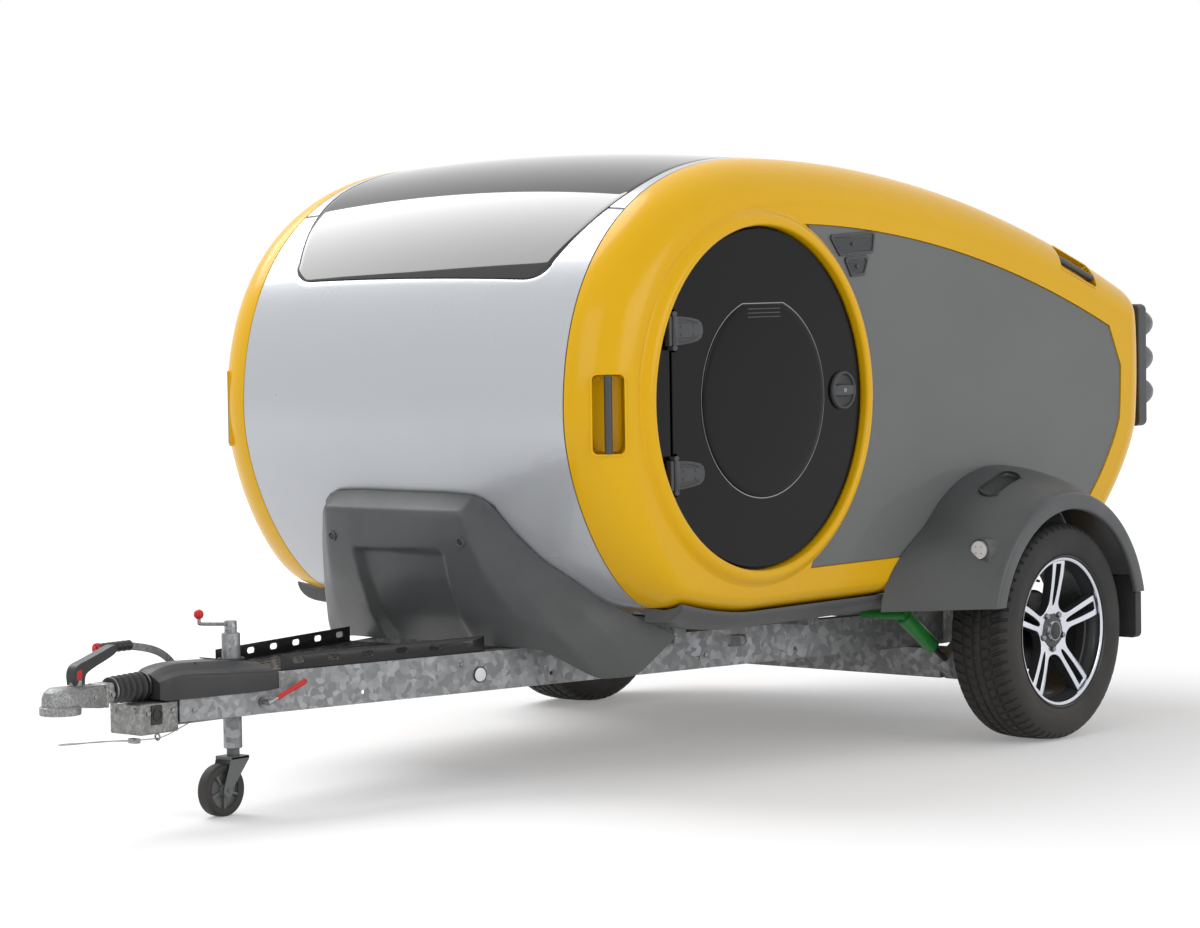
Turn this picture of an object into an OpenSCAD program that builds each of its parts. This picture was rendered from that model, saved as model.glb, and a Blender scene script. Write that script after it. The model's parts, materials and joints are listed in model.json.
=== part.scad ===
// Teardrop camping trailer on a galvanised A-frame chassis, in millimetres.
// +X points forward to the tow coupling, +Y to the left, +Z up from the ground.

/* [Cabin] */
// Width of the cabin over its flat sides
body_w = 1470; // [1300:10:1700]
// Width of the rounded edge between roof and side
edge_w = 146; // [110:2:170]
// Depth of the rounded edge along the roof and nose
edge_drop = 125; // [90:1:135]
// Depth of the rounded edge along the floor
edge_drop_floor = 60; // [45:1:75]
// Foremost point of the nose at its edge seam
nose_x = 757; // [700:5:850]
// Height of the nose point
nose_z = 1013; // [980:5:1050]
// Height of the roof at its edge seam
roof_z = 1686; // [1640:2:1800]
// Rear face of the cabin
tail_x = -1886; // [-2100:5:-1800]
// Underside of the cabin floor
floor_z = 440; // [425:5:460]
// How far the roof and nose bulge at the middle
crown = 26; // [10:1:35]
// Thickness of the cabin walls
wall = 30; // [24:1:36]
// Gap in the joint between two fixed panels
panel_gap = 0.6; // [0.4:0.1:0.8]

/* [Doors] */
// Radius of the round door opening
door_open_r = 465; // [420:5:480]
// Door centre, forward of the origin
door_x = 110; // [60:5:130]
// Door centre above the ground
door_z = 1034; // [1020:2:1050]
// Width of the raised ring around the door
ring_w = 45; // [30:1:50]
// How far the ring stands out from the side
ring_proud = 24; // [10:1:35]
// Running gap around the door
door_gap = 7; // [6:0.5:10]
// Hinge line, forward of the door centre
hinge_dx = 382; // [340:2:400]
// Radius of the window pane in the door
pane_r = 270; // [220:5:290]

/* [Wheels] */
// Outer radius of the tyre
tyre_r = 317; // [300:1:340]
// Width of the tyre
tyre_w = 205; // [185:5:225]
// Radius of the rim bead
rim_r = 222; // [200:1:230]
// Outer face of the tyre from the middle
tyre_face_y = 980; // [960:5:1010]
// Wheel axis, behind the origin
axle_x = -1013; // [-1060:5:-960]
// Radius of the stub axle
stub_r = 22; // [18:1:26]

/* [Chassis] */
// Height of the chassis rails
rail_h = 105; // [90:5:110]
// Underside of the chassis rails
rail_z = 267; // [255:1:275]
// Metal thickness of the rails
rail_t = 4; // [3:0.5:6]
// Flange width of the rails
rail_flange = 46; // [40:1:60]
// Front end of the rails
rail_front_x = 1640; // [1600:5:1680]
// Outer face of each rail at its front end
rail_front_y = 62; // [58:1:66]
// Outer face of each rail at the axle
rail_axle_y = 590; // [560:5:600]
// Rear end of the rails
rail_rear_x = -1480; // [-1550:5:-1400]

/* [Hitch] */
// Tip of the tow coupling
coupling_tip_x = 2034; // [2000:1:2060]
// Centre height of the coupling's ball socket
coupling_z = 345; // [340:1:360]
// Diameter of the tow ball that the coupling takes
ball_d = 50; // [50:1:50.8]
// Centre of the jockey tube
jockey_x = 1397; // [1380:1:1420]
// Outer diameter of the jockey tube
jockey_tube_d = 48; // [40:1:50]
// Radius of the jockey wheel
jockey_r = 68; // [60:1:80]
// How far the jockey wheel trails in front of its tube
jockey_trail = 46; // [40:1:55]

/* [Fenders] */
// Outer lip radius of the fender
lip_r = 405; // [395:1:420]
// Radius of the fender where it meets the cabin
fender_r = 478; // [450:1:490]
// Outer face of the fender lip
lip_y = 1004; // [1000:1:1030]

/* [Rear] */
// Width of the rear hatch
hatch_w = 1000; // [900:10:1020]
// Diameter of the rear lamps
lamp_d = 96; // [80:1:100]
// Spacing of the rear lamps
lamp_pitch = 107; // [104:1:112]

/* [Hidden] */
$fn = 96;

half_w = body_w / 2;
seam_y = half_w - edge_w;

// side outline of the cabin: knots [x, z, heading, handle before, handle after, edge depth]
KNOTS = [
  [nose_x - 340, floor_z + 40, 12, 80, 145, edge_drop_floor],
  [nose_x, nose_z, 90, 230, 407, edge_drop],
  [nose_x - 772, roof_z, 180, 484, 609, edge_drop],
  [tail_x + 86, roof_z - 362, 202, 596, 62, edge_drop],
  [tail_x, roof_z - 496, 266, 78, 100, edge_drop],
  [tail_x + 6, roof_z - 796, 276, 100, 120, edge_drop],
  [tail_x + 636, floor_z, 360, 330, 300, edge_drop_floor],
  [nose_x - 637, floor_z, 360, 300, 100, edge_drop_floor],
  [nose_x - 340, floor_z + 40, 372, 80, 145, edge_drop_floor]
];
LOOP_END = len(KNOTS) - 1;
NOSE = 1;
REAR_LOW = 6;

// stations of the panel joints along the outline
sky_t0 = 1.323;
break_t = 1.57;
sky_full_t = 1.75;
sky_t1 = 2.08;
hatch_t0 = 2.8;
hatch_t1 = 5.3;
bulkhead_t = 2.64;

function dir2(a) = [cos(a), sin(a)];
function knot_pt(k, d) = [KNOTS[k][0], KNOTS[k][1]] + d * dir2(KNOTS[k][2] + 90);
function bez(a, b, c, d, u) =
  pow(1 - u, 3) * a + 3 * pow(1 - u, 2) * u * b + 3 * (1 - u) * u * u * c + pow(u, 3) * d;

// point of the outline at station t, moved in by the share f of the edge depth and by e
function outline(t, f, e) =
  let (
    i = max(0, min(floor(t), LOOP_END - 1)),
    a = KNOTS[i],
    b = KNOTS[i + 1],
    da = f * a[5] + e,
    db = f * b[5] + e,
    k = 4 / 3 * tan((b[2] - a[2]) / 4),
    p = knot_pt(i, da),
    q = knot_pt(i + 1, db)
  )
  bez(p, p + (a[4] - da * k) * dir2(a[2]), q - (b[3] - db * k) * dir2(b[2]), q, t - i);

// heading of the outline at station t
function heading(t) =
  let (p = outline(t - 0.01, 0, 0), q = outline(t + 0.01, 0, 0)) atan2(q[1] - p[1], q[0] - p[0]);

// skin point at station t and side angle a past the seam, at depth e under the skin
function edge_pt(t, a, e) =
  let (p = outline(t, 1 - cos(a), e * cos(a))) [p[0], seam_y + (edge_w - e) * sin(a), p[1]];

// bulge of the middle of the skin, fading out towards the floor
function bulge(t) = crown * min(1, t / 0.4, max(0, REAR_LOW - t) / 0.4);

// skin point at station t and half width y, at depth e under the skin
function roof_pt(t, y, e) =
  let (p = outline(t, 0, e - bulge(t) * (1 - pow(y / seam_y, 2)))) [p[0], y, p[1]];

function steps(a, b, n) = [for (i = [0:n]) a + (b - a) * i / n];
function mirrored(list) = concat([for (i = [len(list) - 1:-1:1]) -list[i]], list);

// closed solid between an outer and an inner grid of points, rows by columns
module sheet_solid(outer, inner, loop = false) {
  rows = len(outer);
  cols = len(outer[0]);
  n = rows * cols;
  last = loop ? rows - 1 : rows - 2;
  function at(r, c) = (r % rows) * cols + c;
  points = concat([for (r = outer) for (p = r) p], [for (r = inner) for (p = r) p]);
  skin = [for (r = [0:last]) for (c = [0:cols - 2]) each [
    [at(r, c), at(r + 1, c + 1), at(r, c + 1)],
    [at(r, c), at(r + 1, c), at(r + 1, c + 1)],
    [n + at(r, c), n + at(r, c + 1), n + at(r + 1, c + 1)],
    [n + at(r, c), n + at(r + 1, c + 1), n + at(r + 1, c)]
  ]];
  row_ends = loop ? [] : [for (c = [0:cols - 2]) each [
    [at(0, c), at(0, c + 1), n + at(0, c + 1)],
    [at(0, c), n + at(0, c + 1), n + at(0, c)],
    [at(rows - 1, c), n + at(rows - 1, c + 1), at(rows - 1, c + 1)],
    [at(rows - 1, c), n + at(rows - 1, c), n + at(rows - 1, c + 1)]
  ]];
  sides = [for (r = [0:last]) each [
    [at(r, 0), n + at(r + 1, 0), at(r + 1, 0)],
    [at(r, 0), n + at(r, 0), n + at(r + 1, 0)],
    [at(r, cols - 1), at(r + 1, cols - 1), n + at(r + 1, cols - 1)],
    [at(r, cols - 1), n + at(r + 1, cols - 1), n + at(r, cols - 1)]
  ]];
  polyhedron(points, concat(skin, row_ends, sides), convexity = 8);
}

// panel of the bulged skin: one list of half widths for every station
module skin_panel(stations, widths, thick) {
  sheet_solid(
    [for (i = [0:len(stations) - 1]) [for (y = widths[i]) roof_pt(stations[i], y, 0)]],
    [for (i = [0:len(stations) - 1]) [for (y = widths[i]) roof_pt(stations[i], y, thick)]]
  );
}

module mirror_side(left) {
  if (left) children();
  else mirror([0, 1, 0]) children();
}

module both_sides() {
  children();
  mirror([0, 1, 0]) children();
}

// upright outline in X and Z, standing between two values of Y
module along_y(y0, y1) {
  translate([0, y1, 0]) rotate([90, 0, 0]) linear_extrude(y1 - y0) children();
}

// upright outline in Y and Z, standing between two values of X
module along_x(x0, x1) {
  translate([x0, 0, 0]) rotate([90, 0, 90]) linear_extrude(x1 - x0) children();
}

module box(x0, x1, y0, y1, z0, z1) {
  translate([x0, y0, z0]) cube([x1 - x0, y1 - y0, z1 - z0]);
}

module rod_y(x, z, r, y0, y1) {
  translate([x, y0, z]) rotate([-90, 0, 0]) cylinder(r = r, h = y1 - y0);
}

// straight round bar between two points
module bar(p, q, r) {
  d = q - p;
  l = norm(d);
  translate(p) rotate([0, acos(d[2] / l), atan2(d[1], d[0])]) cylinder(r = r, h = l);
}

// ---- cabin: edges and sides
STATIONS = concat(
  steps(0, 0.9, 9), steps(1, 1.9, 9), steps(2, 2.9, 9), steps(3, 3.75, 3),
  steps(4, 4.5, 1), steps(5, 5.85, 5), [6, 7], [7.5]
);
seam_gap_a = asin(panel_gap / edge_w);
SIDE_ANGLES = concat([seam_gap_a], steps(15, 90, 5));
plate_lap = 8;
panel_border = 58;
ring_r = door_open_r + ring_w;

module side_outline(f, e) {
  polygon([for (t = STATIONS) outline(t, f, e)]);
}

// the inset outline with a plain corner at the top of the tail
module inset_outline(e) {
  polygon([for (t = STATIONS) if (t < 2.95 || t > 4.4) outline(t, 1, e)]);
}

module door_disc(r) {
  translate([door_x, door_z]) circle(r = r, $fn = 128);
}

module side_panel_outline(grow) {
  difference() {
    inset_outline(panel_border - grow);
    door_disc(ring_r + 2 - grow);
    translate([door_x - 60, -1000]) square([3000, 4000]);
  }
}

module door_ring() {
  skin = half_w + ring_proud;
  translate([door_x, 0, door_z]) rotate([-90, 0, 0]) rotate_extrude($fn = 128) polygon([
    [door_open_r, half_w - wall + 2], [ring_r, half_w - wall + 2], [ring_r, half_w],
    [ring_r - ring_w * 0.09, half_w + ring_proud * 0.45],
    [ring_r - ring_w * 0.27, half_w + ring_proud * 0.8],
    [ring_r - ring_w * 0.5, skin], [door_open_r + 8, skin],
    [door_open_r + 2, skin - 3], [door_open_r, skin - 9]
  ]);
}

// hand-hold pockets in the rounded edge
hold_l = 205;
hold_w = 84;
hold_depth = 44;
hold_wall = 5;
hold_bar_r = 11;
hold_lip = 30;
HOLDS = [[NOSE, 52], [2.83, 58]];

module at_hold(hold) {
  turn = atan2(edge_drop * sin(hold[1]), edge_w * cos(hold[1]));
  translate(edge_pt(hold[0], hold[1], 0)) rotate([0, 90 - heading(hold[0]), 0])
    rotate([0, 0, turn]) children();
}

module side_shell() {
  difference() {
    union() {
      sheet_solid(
        [for (t = STATIONS) [for (a = SIDE_ANGLES) edge_pt(t, a, 0)]],
        [for (t = STATIONS) [for (a = SIDE_ANGLES) edge_pt(t, a, wall)]],
        loop = true
      );
      along_y(half_w - wall + 1.5, half_w - 2) difference() {
        side_outline(1, -plate_lap);
        door_disc(door_open_r + 4);
        side_panel_outline(panel_gap);
      }
      door_ring();
      for (hold = HOLDS) at_hold(hold)
        box(-hold_depth - hold_wall, -hold_lip + 16, -hold_w / 2 - hold_wall, hold_w / 2 + hold_wall,
          -hold_l / 2 - hold_wall, hold_l / 2 + hold_wall);
    }
    for (hold = HOLDS) at_hold(hold)
      box(-hold_depth, hold_lip, -hold_w / 2, hold_w / 2, -hold_l / 2, hold_l / 2);
  }
}

module side_shell_left() { color("gold") side_shell(); }
module side_shell_right() { color("gold") mirror_side(false) side_shell(); }

module side_panels() {
  color("dimgray") both_sides()
    along_y(half_w - wall + 3, half_w - 4) side_panel_outline(0);
}

module grab_bars() {
  color([0.12, 0.12, 0.13]) both_sides() for (hold = HOLDS) at_hold(hold)
    translate([-hold_bar_r - 1, 0, -hold_l / 2]) cylinder(r = hold_bar_r, h = hold_l);
}

// ---- cabin: nose, roof and rear
skin_t = 24;
sky_low_y = 470;
sky_high_y = 562;
sky_corner_y = 80;
sky_corner_t = 0.055;
glass_t = 16;

// skylight border, from the middle of its lower edge to its full width
SKY_EDGE = concat(
  [for (a = steps(0, 90, 4))
    [sky_low_y - sky_corner_y * (1 - sin(a)), sky_t0 + sky_corner_t * (1 - cos(a))]],
  [for (t = [1.42, 1.47, 1.52, break_t, 1.63, 1.69, sky_full_t]) [sky_side(t), t]]
);
function sky_side(t) =
  let (t0 = sky_t0 + sky_corner_t)
  sky_low_y + (sky_high_y - sky_low_y) * sin(90 * min(1, (t - t0) / (sky_full_t - t0)));

module front_panel() {
  cols = concat(
    [for (y = [0, 130, 260]) [y, sky_t0]],
    [for (p = SKY_EDGE) if (p[1] <= break_t) p],
    [[seam_y, break_t]]
  );
  columns = concat([for (i = [len(cols) - 1:-1:1]) [-cols[i][0], cols[i][1]]], cols);
  color([0.73, 0.74, 0.76]) sheet_solid(
    [for (s = steps(0, 1, 16)) [for (c = columns) roof_pt(c[1] * s, c[0], 0)]],
    [for (s = steps(0, 1, 16)) [for (c = columns) roof_pt(c[1] * s, c[0], skin_t)]]
  );
}

SKY_GAP_T = panel_gap / 1200;

module skylight() {
  rows = concat(
    [for (p = SKY_EDGE) [p[0] - panel_gap, p[1] + SKY_GAP_T]],
    [for (t = concat(steps(1.81, 1.99, 3), [sky_t1])) [sky_high_y - panel_gap, t]]
  );
  color([0.05, 0.05, 0.06])
    skin_panel([for (r = rows) r[1]], [for (r = rows) [for (s = steps(-1, 1, 8)) s * r[0]]], glass_t);
}

ROOF_ROWS = concat([sky_t1 + 2 * SKY_GAP_T], steps(2.2, 2.7, 5), [hatch_t0 - SKY_GAP_T]);

module roof_panel() {
  strip_rows = concat(
    [for (p = SKY_EDGE) if (p[1] >= break_t) [p[0], p[1] + SKY_GAP_T]],
    [for (t = concat([1.85, 1.95], ROOF_ROWS)) [sky_high_y, t]]
  );
  color([0.73, 0.74, 0.76]) {
    skin_panel(ROOF_ROWS, [for (t = ROOF_ROWS) steps(-1, 1, 6) * (sky_high_y - panel_gap)], skin_t);
    both_sides() skin_panel(
      [for (r = strip_rows) r[1]],
      [for (r = strip_rows) [r[0], seam_y]],
      skin_t
    );
  }
}

HATCH_ROWS = concat(steps(hatch_t0 + 0.003, 2.9, 1), steps(3, 3.75, 3), [4, 4.5], steps(5, hatch_t1, 2));
hatch_gap = 6;

module rear_frame() {
  post_rows = concat(
    [hatch_t0 + SKY_GAP_T], steps(2.9, 3, 1), steps(3.25, 3.75, 2), [4, 4.5], steps(5, 6, 6)
  );
  low_rows = concat([hatch_t1 + 0.012], steps(5.45, 6, 4));
  color([0.29, 0.3, 0.31]) {
    both_sides() skin_panel(post_rows, [for (t = post_rows) [hatch_w / 2 + hatch_gap, seam_y]], skin_t);
    skin_panel(low_rows, [for (t = low_rows) steps(-1, 1, 6) * (hatch_w / 2 + hatch_gap - panel_gap)], skin_t);
  }
}

module floor_pan() {
  rows = concat([6.001], steps(6.5, 7, 1), steps(7.25, 7.999, 3));
  color([0.2, 0.2, 0.21]) along_y(-seam_y + panel_gap, seam_y - panel_gap) polygon(concat(
    [for (t = rows) outline(t, 0, 0)],
    [for (i = [len(rows) - 1:-1:0]) outline(rows[i], 0, skin_t)]
  ));
}

bulkhead_play = 2.5;

module bulkhead() {
  depth = wall + bulkhead_play;
  x = outline(bulkhead_t, 0, 0)[0];
  top = [for (a = steps(90, 0, 4))
    [seam_y + (edge_w - depth) * sin(a), outline(bulkhead_t, 1 - cos(a), depth * cos(a))[1] - 6]];
  foot = floor_z + skin_t + 0.3;
  half = concat([[seam_y - 10, foot], [seam_y + 44, floor_z + 92]], top);
  color([0.8, 0.78, 0.72]) along_x(x - 9, x + 9) polygon(concat(
    half, [[0, half[len(half) - 1][1] + crown * 0.6]],
    [for (i = [len(half) - 1:-1:0]) [-half[i][0], half[i][1]]]
  ));
}

hatch_axis_rise = 16;
hatch_hinge_y = 330;
hatch_pin_r = 6;
pin_play = 0.05;

// axis of the rear hatch, above the crown of the roof
function hatch_axis() = outline(hatch_t0, 0, -crown - hatch_axis_rise);

module at_hatch_axis() {
  p = hatch_axis();
  translate([p[0], 0, p[1]]) rotate([0, -(heading(hatch_t0) - 180), 0]) children();
}

module rear_hatch() {
  color([0.73, 0.74, 0.76]) {
    difference() {
      union() {
        skin_panel(HATCH_ROWS, [for (t = HATCH_ROWS) steps(-1, 1, 8) * hatch_w / 2], skin_t);
        for (s = [-1, 1]) at_hatch_axis() {
          rod_y(0, 0, hatch_pin_r + 5, s * hatch_hinge_y - 14, s * hatch_hinge_y + 14);
          box(-60, -6, s * hatch_hinge_y - 14, s * hatch_hinge_y + 14, -34, 3);
        }
      }
      for (s = [-1, 1]) at_hatch_axis()
        rod_y(0, 0, hatch_pin_r + pin_play, s * hatch_hinge_y - 15, s * hatch_hinge_y + 15);
    }
  }
}

module hatch_hinges() {
  color([0.15, 0.15, 0.16]) for (s = [-1, 1]) at_hatch_axis() {
    rod_y(0, 0, hatch_pin_r, s * hatch_hinge_y - 26, s * hatch_hinge_y + 26);
    for (k = [-1, 1]) difference() {
      box(-9, 60, s * hatch_hinge_y + k * 20 - 5, s * hatch_hinge_y + k * 20 + 5, -23.6, 9);
      box(-10, 6, s * hatch_hinge_y + k * 20 - 6, s * hatch_hinge_y + k * 20 + 6, -40, -9);
    }
  }
}

// ---- rear lamps
lamp_board_x0 = tail_x - 52;
lamp_board_w = 112;
lamp_board_y = seam_y + 40;
lamp_top_z = 1251;
lamp_low_z = 870;
lamp_mid_z = 1082;
lamp_len = 95;
// how far the posts bulge behind the tail's edge at the lamps
lamp_seat = 5.2;

module lamp_boards() {
  color([0.16, 0.16, 0.17]) both_sides() difference() {
    box(lamp_board_x0, tail_x + 30, lamp_board_y - lamp_board_w / 2, lamp_board_y + lamp_board_w / 2,
      lamp_low_z, lamp_top_z);
    box(tail_x - lamp_seat, tail_x + 40, lamp_board_y - lamp_board_w, lamp_board_y + lamp_board_w,
      lamp_low_z - 10, lamp_top_z + 10);
  }
}

module rear_lamps() {
  color([0.45, 0.45, 0.46]) both_sides() for (i = [-1:1])
    translate([lamp_board_x0 - 0.3, lamp_board_y, lamp_mid_z + i * lamp_pitch]) rotate([0, -90, 0])
      rotate_extrude() polygon(concat(
        [[0, 0], [lamp_d / 2, 0], [lamp_d / 2, lamp_len * 0.4]],
        [for (a = steps(15, 90, 5)) [lamp_d / 2 * cos(a), lamp_len * (0.4 + 0.6 * sin(a))]]
      ));
}

// ---- doors
door_t = 34;
door_y1 = half_w + 2;
door_y0 = door_y1 - door_t;
door_r = door_open_r - door_gap;
hinge_x = door_x + hinge_dx;
hinge_y = half_w + 14;
hinge_dz = 190;
hinge_h = 78;
hinge_pin_r = 5;
hinge_split = 4;
pane_flat = 0.945;
pane_x = door_x - 14;

module pane_outline(r) {
  intersection() {
    translate([pane_x, door_z]) circle(r = r, $fn = 128);
    translate([pane_x - r, door_z - r]) square([2 * r, r * (1 + pane_flat)]);
  }
}

module door() {
  along_y(door_y0, door_y1) difference() {
    door_disc(door_r);
    translate([hinge_x - hinge_split, 0]) square([door_r, 3000]);
    for (s = [-1, 1]) for (k = [-1, 1])
      translate([hinge_x - 20, door_z + s * hinge_dz + k * (hinge_h / 2 + 6) - 11]) square([20, 22]);
    pane_outline(pane_r);
  }
}

module door_window() {
  along_y(door_y0 + 8, door_y1 + 6) pane_outline(pane_r - 0.3);
}

module door_fittings() {
  for (s = [-1, 1]) translate([0, 0, door_z + s * hinge_dz]) {
    difference() {
      union() {
        box(hinge_x - 128, hinge_x, door_y1 + 0.3, door_y1 + 15, -hinge_h / 2, hinge_h / 2);
        translate([hinge_x, hinge_y, -hinge_h / 2]) cylinder(r = 10, h = hinge_h);
      }
      translate([hinge_x, hinge_y, -hinge_h]) cylinder(r = hinge_pin_r + pin_play, h = 2 * hinge_h);
    }
  }
  translate([door_x - 370, door_y1 + 0.3, door_z + 8]) rotate([-90, 0, 0]) {
    difference() {
      cylinder(r = 54, h = 12);
      translate([0, 0, 3]) cylinder(r = 45, h = 20);
    }
    translate([-44, -15, 4]) cube([88, 30, 8]);
  }
}

module hinge_plates() {
  color([0.08, 0.08, 0.09]) both_sides() {
    along_y(door_y0, half_w) intersection() {
      door_disc(door_open_r - 0.3);
      translate([hinge_x + hinge_split, 0]) square([door_r, 3000]);
    }
    for (s = [-1, 1]) translate([hinge_x, hinge_y, door_z + s * hinge_dz]) {
      translate([0, 0, -hinge_h / 2 - 12]) cylinder(r = hinge_pin_r, h = hinge_h + 24);
      for (k = [-1, 1]) translate([0, 0, k * (hinge_h / 2 + 6)]) difference() {
        translate([-7, -20, -5.5]) cube([19, 27, 11]);
        translate([-9, -30, -8]) cube([14, 21, 16]);
      }
    }
  }
}

// ---- front guard, sills and fenders
guard_t = 7;
guard_seat = 1.9;
seat = 0.3;
// columns of the guard from the middle outwards, each from its top edge to its lower edge:
// [x, y, z] in the open, or [outline station, y] where the guard lies on the skin
GUARD = [
  [[0.713, 0], [800, 0, 748], [781, 0, 670], [748, 0, 560], [702, 0, 460], [640, 0, 380]],
  [[0.713, 150], [799, 150, 748], [780, 150, 670], [747, 155, 560], [702, 165, 460], [640, 190, 380]],
  [[0.705, 250], [792, 250, 748], [772, 262, 670], [728, 292, 560], [668, 330, 465], [600, 362, 376]],
  [[0.69, 280], [752, 294, 738], [728, 322, 640], [672, 372, 530], [590, 440, 400], [505, 480, 292]],
  [[0.675, 296], [716, 324, 718], [680, 362, 632], [622, 418, 548], [530, 492, 440], [430, 555, 298]],
  [[0.66, 309], [0.555, 349], [0.435, 399], [0.323, 459], [0.158, 499], [343, 622, 402]]
];

function guard_out(p) = len(p) == 2 ? roof_pt(p[0], p[1], -guard_t - guard_seat) : p;
function guard_in(p) = len(p) == 2 ? roof_pt(p[0], p[1], -guard_seat)
  : [p[0] - guard_t * 0.8, p[1] - guard_t * 0.8 * sign(p[1]) * min(1, abs(p[1]) / 400), p[2] - 1];

module front_guard() {
  half = [for (c = GUARD) [for (p = c) guard_out(p)]];
  inner = [for (c = GUARD) [for (p = c) guard_in(p)]];
  color([0.29, 0.3, 0.31]) sheet_solid(guard_rows(half), guard_rows(inner));
}

// rows of the whole guard from its lower edge upwards, right side mirrored from the left
function guard_rows(half) =
  let (all = concat([for (i = [len(half) - 1:-1:1]) [for (p = half[i]) [p[0], -p[1], p[2]]]], half))
  [for (r = [len(half[0]) - 1:-1:0]) [for (c = all) c[r]]];

sill_front_x = nose_x - 327;
sill_rear_x = axle_x + 458;
// cross-section of a sill in Y and Z, measured from the seam and the cabin's underside
SILL = [[-4, -38], [60, -36], [104, -20], [126, 4], [124, 16], [104, 5.5], [66, -3], [30, -0.8], [-4, -0.5]];

module sills() {
  rows = concat([sill_rear_x, -200], steps(nose_x - 637, sill_front_x, 4));
  color([0.29, 0.3, 0.31]) both_sides() loft([for (x = rows) [for (p = SILL)
    [x, seam_y + p[0], floor_z + p[1] + 40 * pow(max(0, (x - nose_x + 637) / 297), 1.8)]]]);
}

// closed solid through a list of rings with equal numbers of points
module loft(rings) {
  n = len(rings[0]);
  m = len(rings);
  function at(r, c) = r * n + c % n;
  polyhedron(
    [for (r = rings) for (p = r) p],
    concat(
      [[for (c = [0:n - 1]) c]],
      [[for (c = [n - 1:-1:0]) at(m - 1, c)]],
      [for (r = [0:m - 2]) for (c = [0:n - 1]) each [
        [at(r, c), at(r + 1, c), at(r + 1, c + 1)],
        [at(r, c), at(r + 1, c + 1), at(r, c + 1)]
      ]]
    ),
    convexity = 6
  );
}

fender_t = 6;
fender_low_z = 405;
lip_w = 50;
marker_x = -650;
marker_y = 928;
marker_z = 577;
marker_r = 28;

module fender() {
  lip_in = lip_r - lip_w;
  difference() {
    union() {
      translate([axle_x, 0, tyre_r]) rotate([-90, 0, 0]) rotate_extrude() polygon([
        [fender_r, half_w + 0.5], [fender_r - 8, half_w + 65], [fender_r - 26, half_w + 135],
        [fender_r - 48, half_w + 195], [lip_r + 7, lip_y - 29], [lip_r, lip_y - 10],
        [lip_r - 4, lip_y - 2], [lip_r - 10, lip_y], [lip_in + 6, lip_y], [lip_in, lip_y - 5],
        [lip_in, lip_y - 14], [lip_r - 14, lip_y - 14], [lip_r - 6, lip_y - 28],
        [fender_r - 48 - fender_t, half_w + 189], [fender_r - 26 - fender_t, half_w + 130],
        [fender_r - 8 - fender_t, half_w + 62], [fender_r - fender_t, half_w + 0.5]
      ]);
      translate([marker_x - 110, marker_y, marker_z]) rotate([0, 90, 0])
        cylinder(r = marker_r + 4, h = 110);
    }
    translate([marker_x, marker_y, marker_z]) rotate([0, 90, 0]) cylinder(r = marker_r + seat, h = 40);
    translate([axle_x - 600, 0, -200]) cube([1200, 1400, fender_low_z + 200]);
    translate([axle_x, 0, tyre_r]) rotate([-90, 0, 0]) cylinder(r = lip_in, h = 2000);
    translate([axle_x, 0, tyre_r]) rotate([-90, 0, 0]) cylinder(r = fender_r - 60, h = lip_y - 60);
  }
  along_y(half_w + 0.5, half_w + 26) polygon([
    [axle_x + 400, fender_low_z], [axle_x + 577, fender_low_z + 10], [axle_x + 520, fender_low_z + 45],
    [axle_x + 470, fender_low_z + 110], [axle_x + 430, fender_low_z + 110]
  ]);
}

module fender_left() { color([0.29, 0.3, 0.31]) fender(); }
module fender_right() { color([0.29, 0.3, 0.31]) mirror_side(false) fender(); }

module mudflaps() {
  color([0.2, 0.2, 0.21]) both_sides()
    box(axle_x - lip_r + 22, axle_x - lip_r + 62, half_w + 70, lip_y - 8, 268, fender_low_z - 0.3);
}

module marker_lamps() {
  color("white") both_sides() translate([marker_x + 0.3, marker_y, marker_z]) rotate([0, 90, 0])
    cylinder(r = marker_r, h = 8);
}

// ---- chassis
rail_top = rail_z + rail_h;
rail_bend_x = axle_x + 63;
rail_turn = atan2(rail_axle_y - rail_front_y, rail_front_x - rail_bend_x);

// plan of a rail: a strip of width w inside its outer face
module rail_strip(w) {
  polygon([
    [rail_front_x, rail_front_y], [rail_bend_x, rail_axle_y], [rail_rear_x, rail_axle_y],
    [rail_rear_x, rail_axle_y - w], [rail_bend_x, rail_axle_y - w], [rail_front_x, rail_front_y - w]
  ]);
}

module rail_slot(x, z, l, r) {
  for (k = [-1, 1]) translate([x + k * (l / 2 - r), -1, z]) rotate([-90, 0, 0])
    cylinder(r = r, h = rail_t + 2);
  translate([x - l / 2 + r, -1, z - r]) cube([l - 2 * r, rail_t + 2, 2 * r]);
}

module chassis_rail() {
  color("silver") difference() {
    union() {
      translate([0, 0, rail_z]) linear_extrude(rail_h) rail_strip(rail_t);
      for (z = [rail_z, rail_top - rail_t]) translate([0, 0, z]) linear_extrude(rail_t) rail_strip(rail_flange);
    }
    translate([rail_front_x, rail_front_y, rail_z]) rotate([0, 0, 180 - rail_turn]) {
      rail_slot(1830, 70, 100, 17);
      for (x = [560, 1180, 1700, 2060]) translate([x, -1, 30]) rotate([-90, 0, 0])
        cylinder(r = 6, h = rail_t + 2);
    }
  }
}

module chassis_rail_left() { chassis_rail(); }
module chassis_rail_right() { mirror_side(false) chassis_rail(); }

module cross_members() {
  color("silver") {
    for (x = [250, -350, -880, -1200]) box(x - 25, x + 25, -560, 560, rail_top + 0.3, floor_z - 0.3);
    box(rail_rear_x, rail_rear_x + 50, -rail_axle_y + rail_t + 0.3, rail_axle_y - rail_t - 0.3,
      rail_z + rail_t + 0.3, rail_top - rail_t - 0.3);
  }
}

arm_x = axle_x + 160;
arm_z = rail_z - 44;
beam_h = 84;
beam_end = rail_axle_y + 84;

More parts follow.
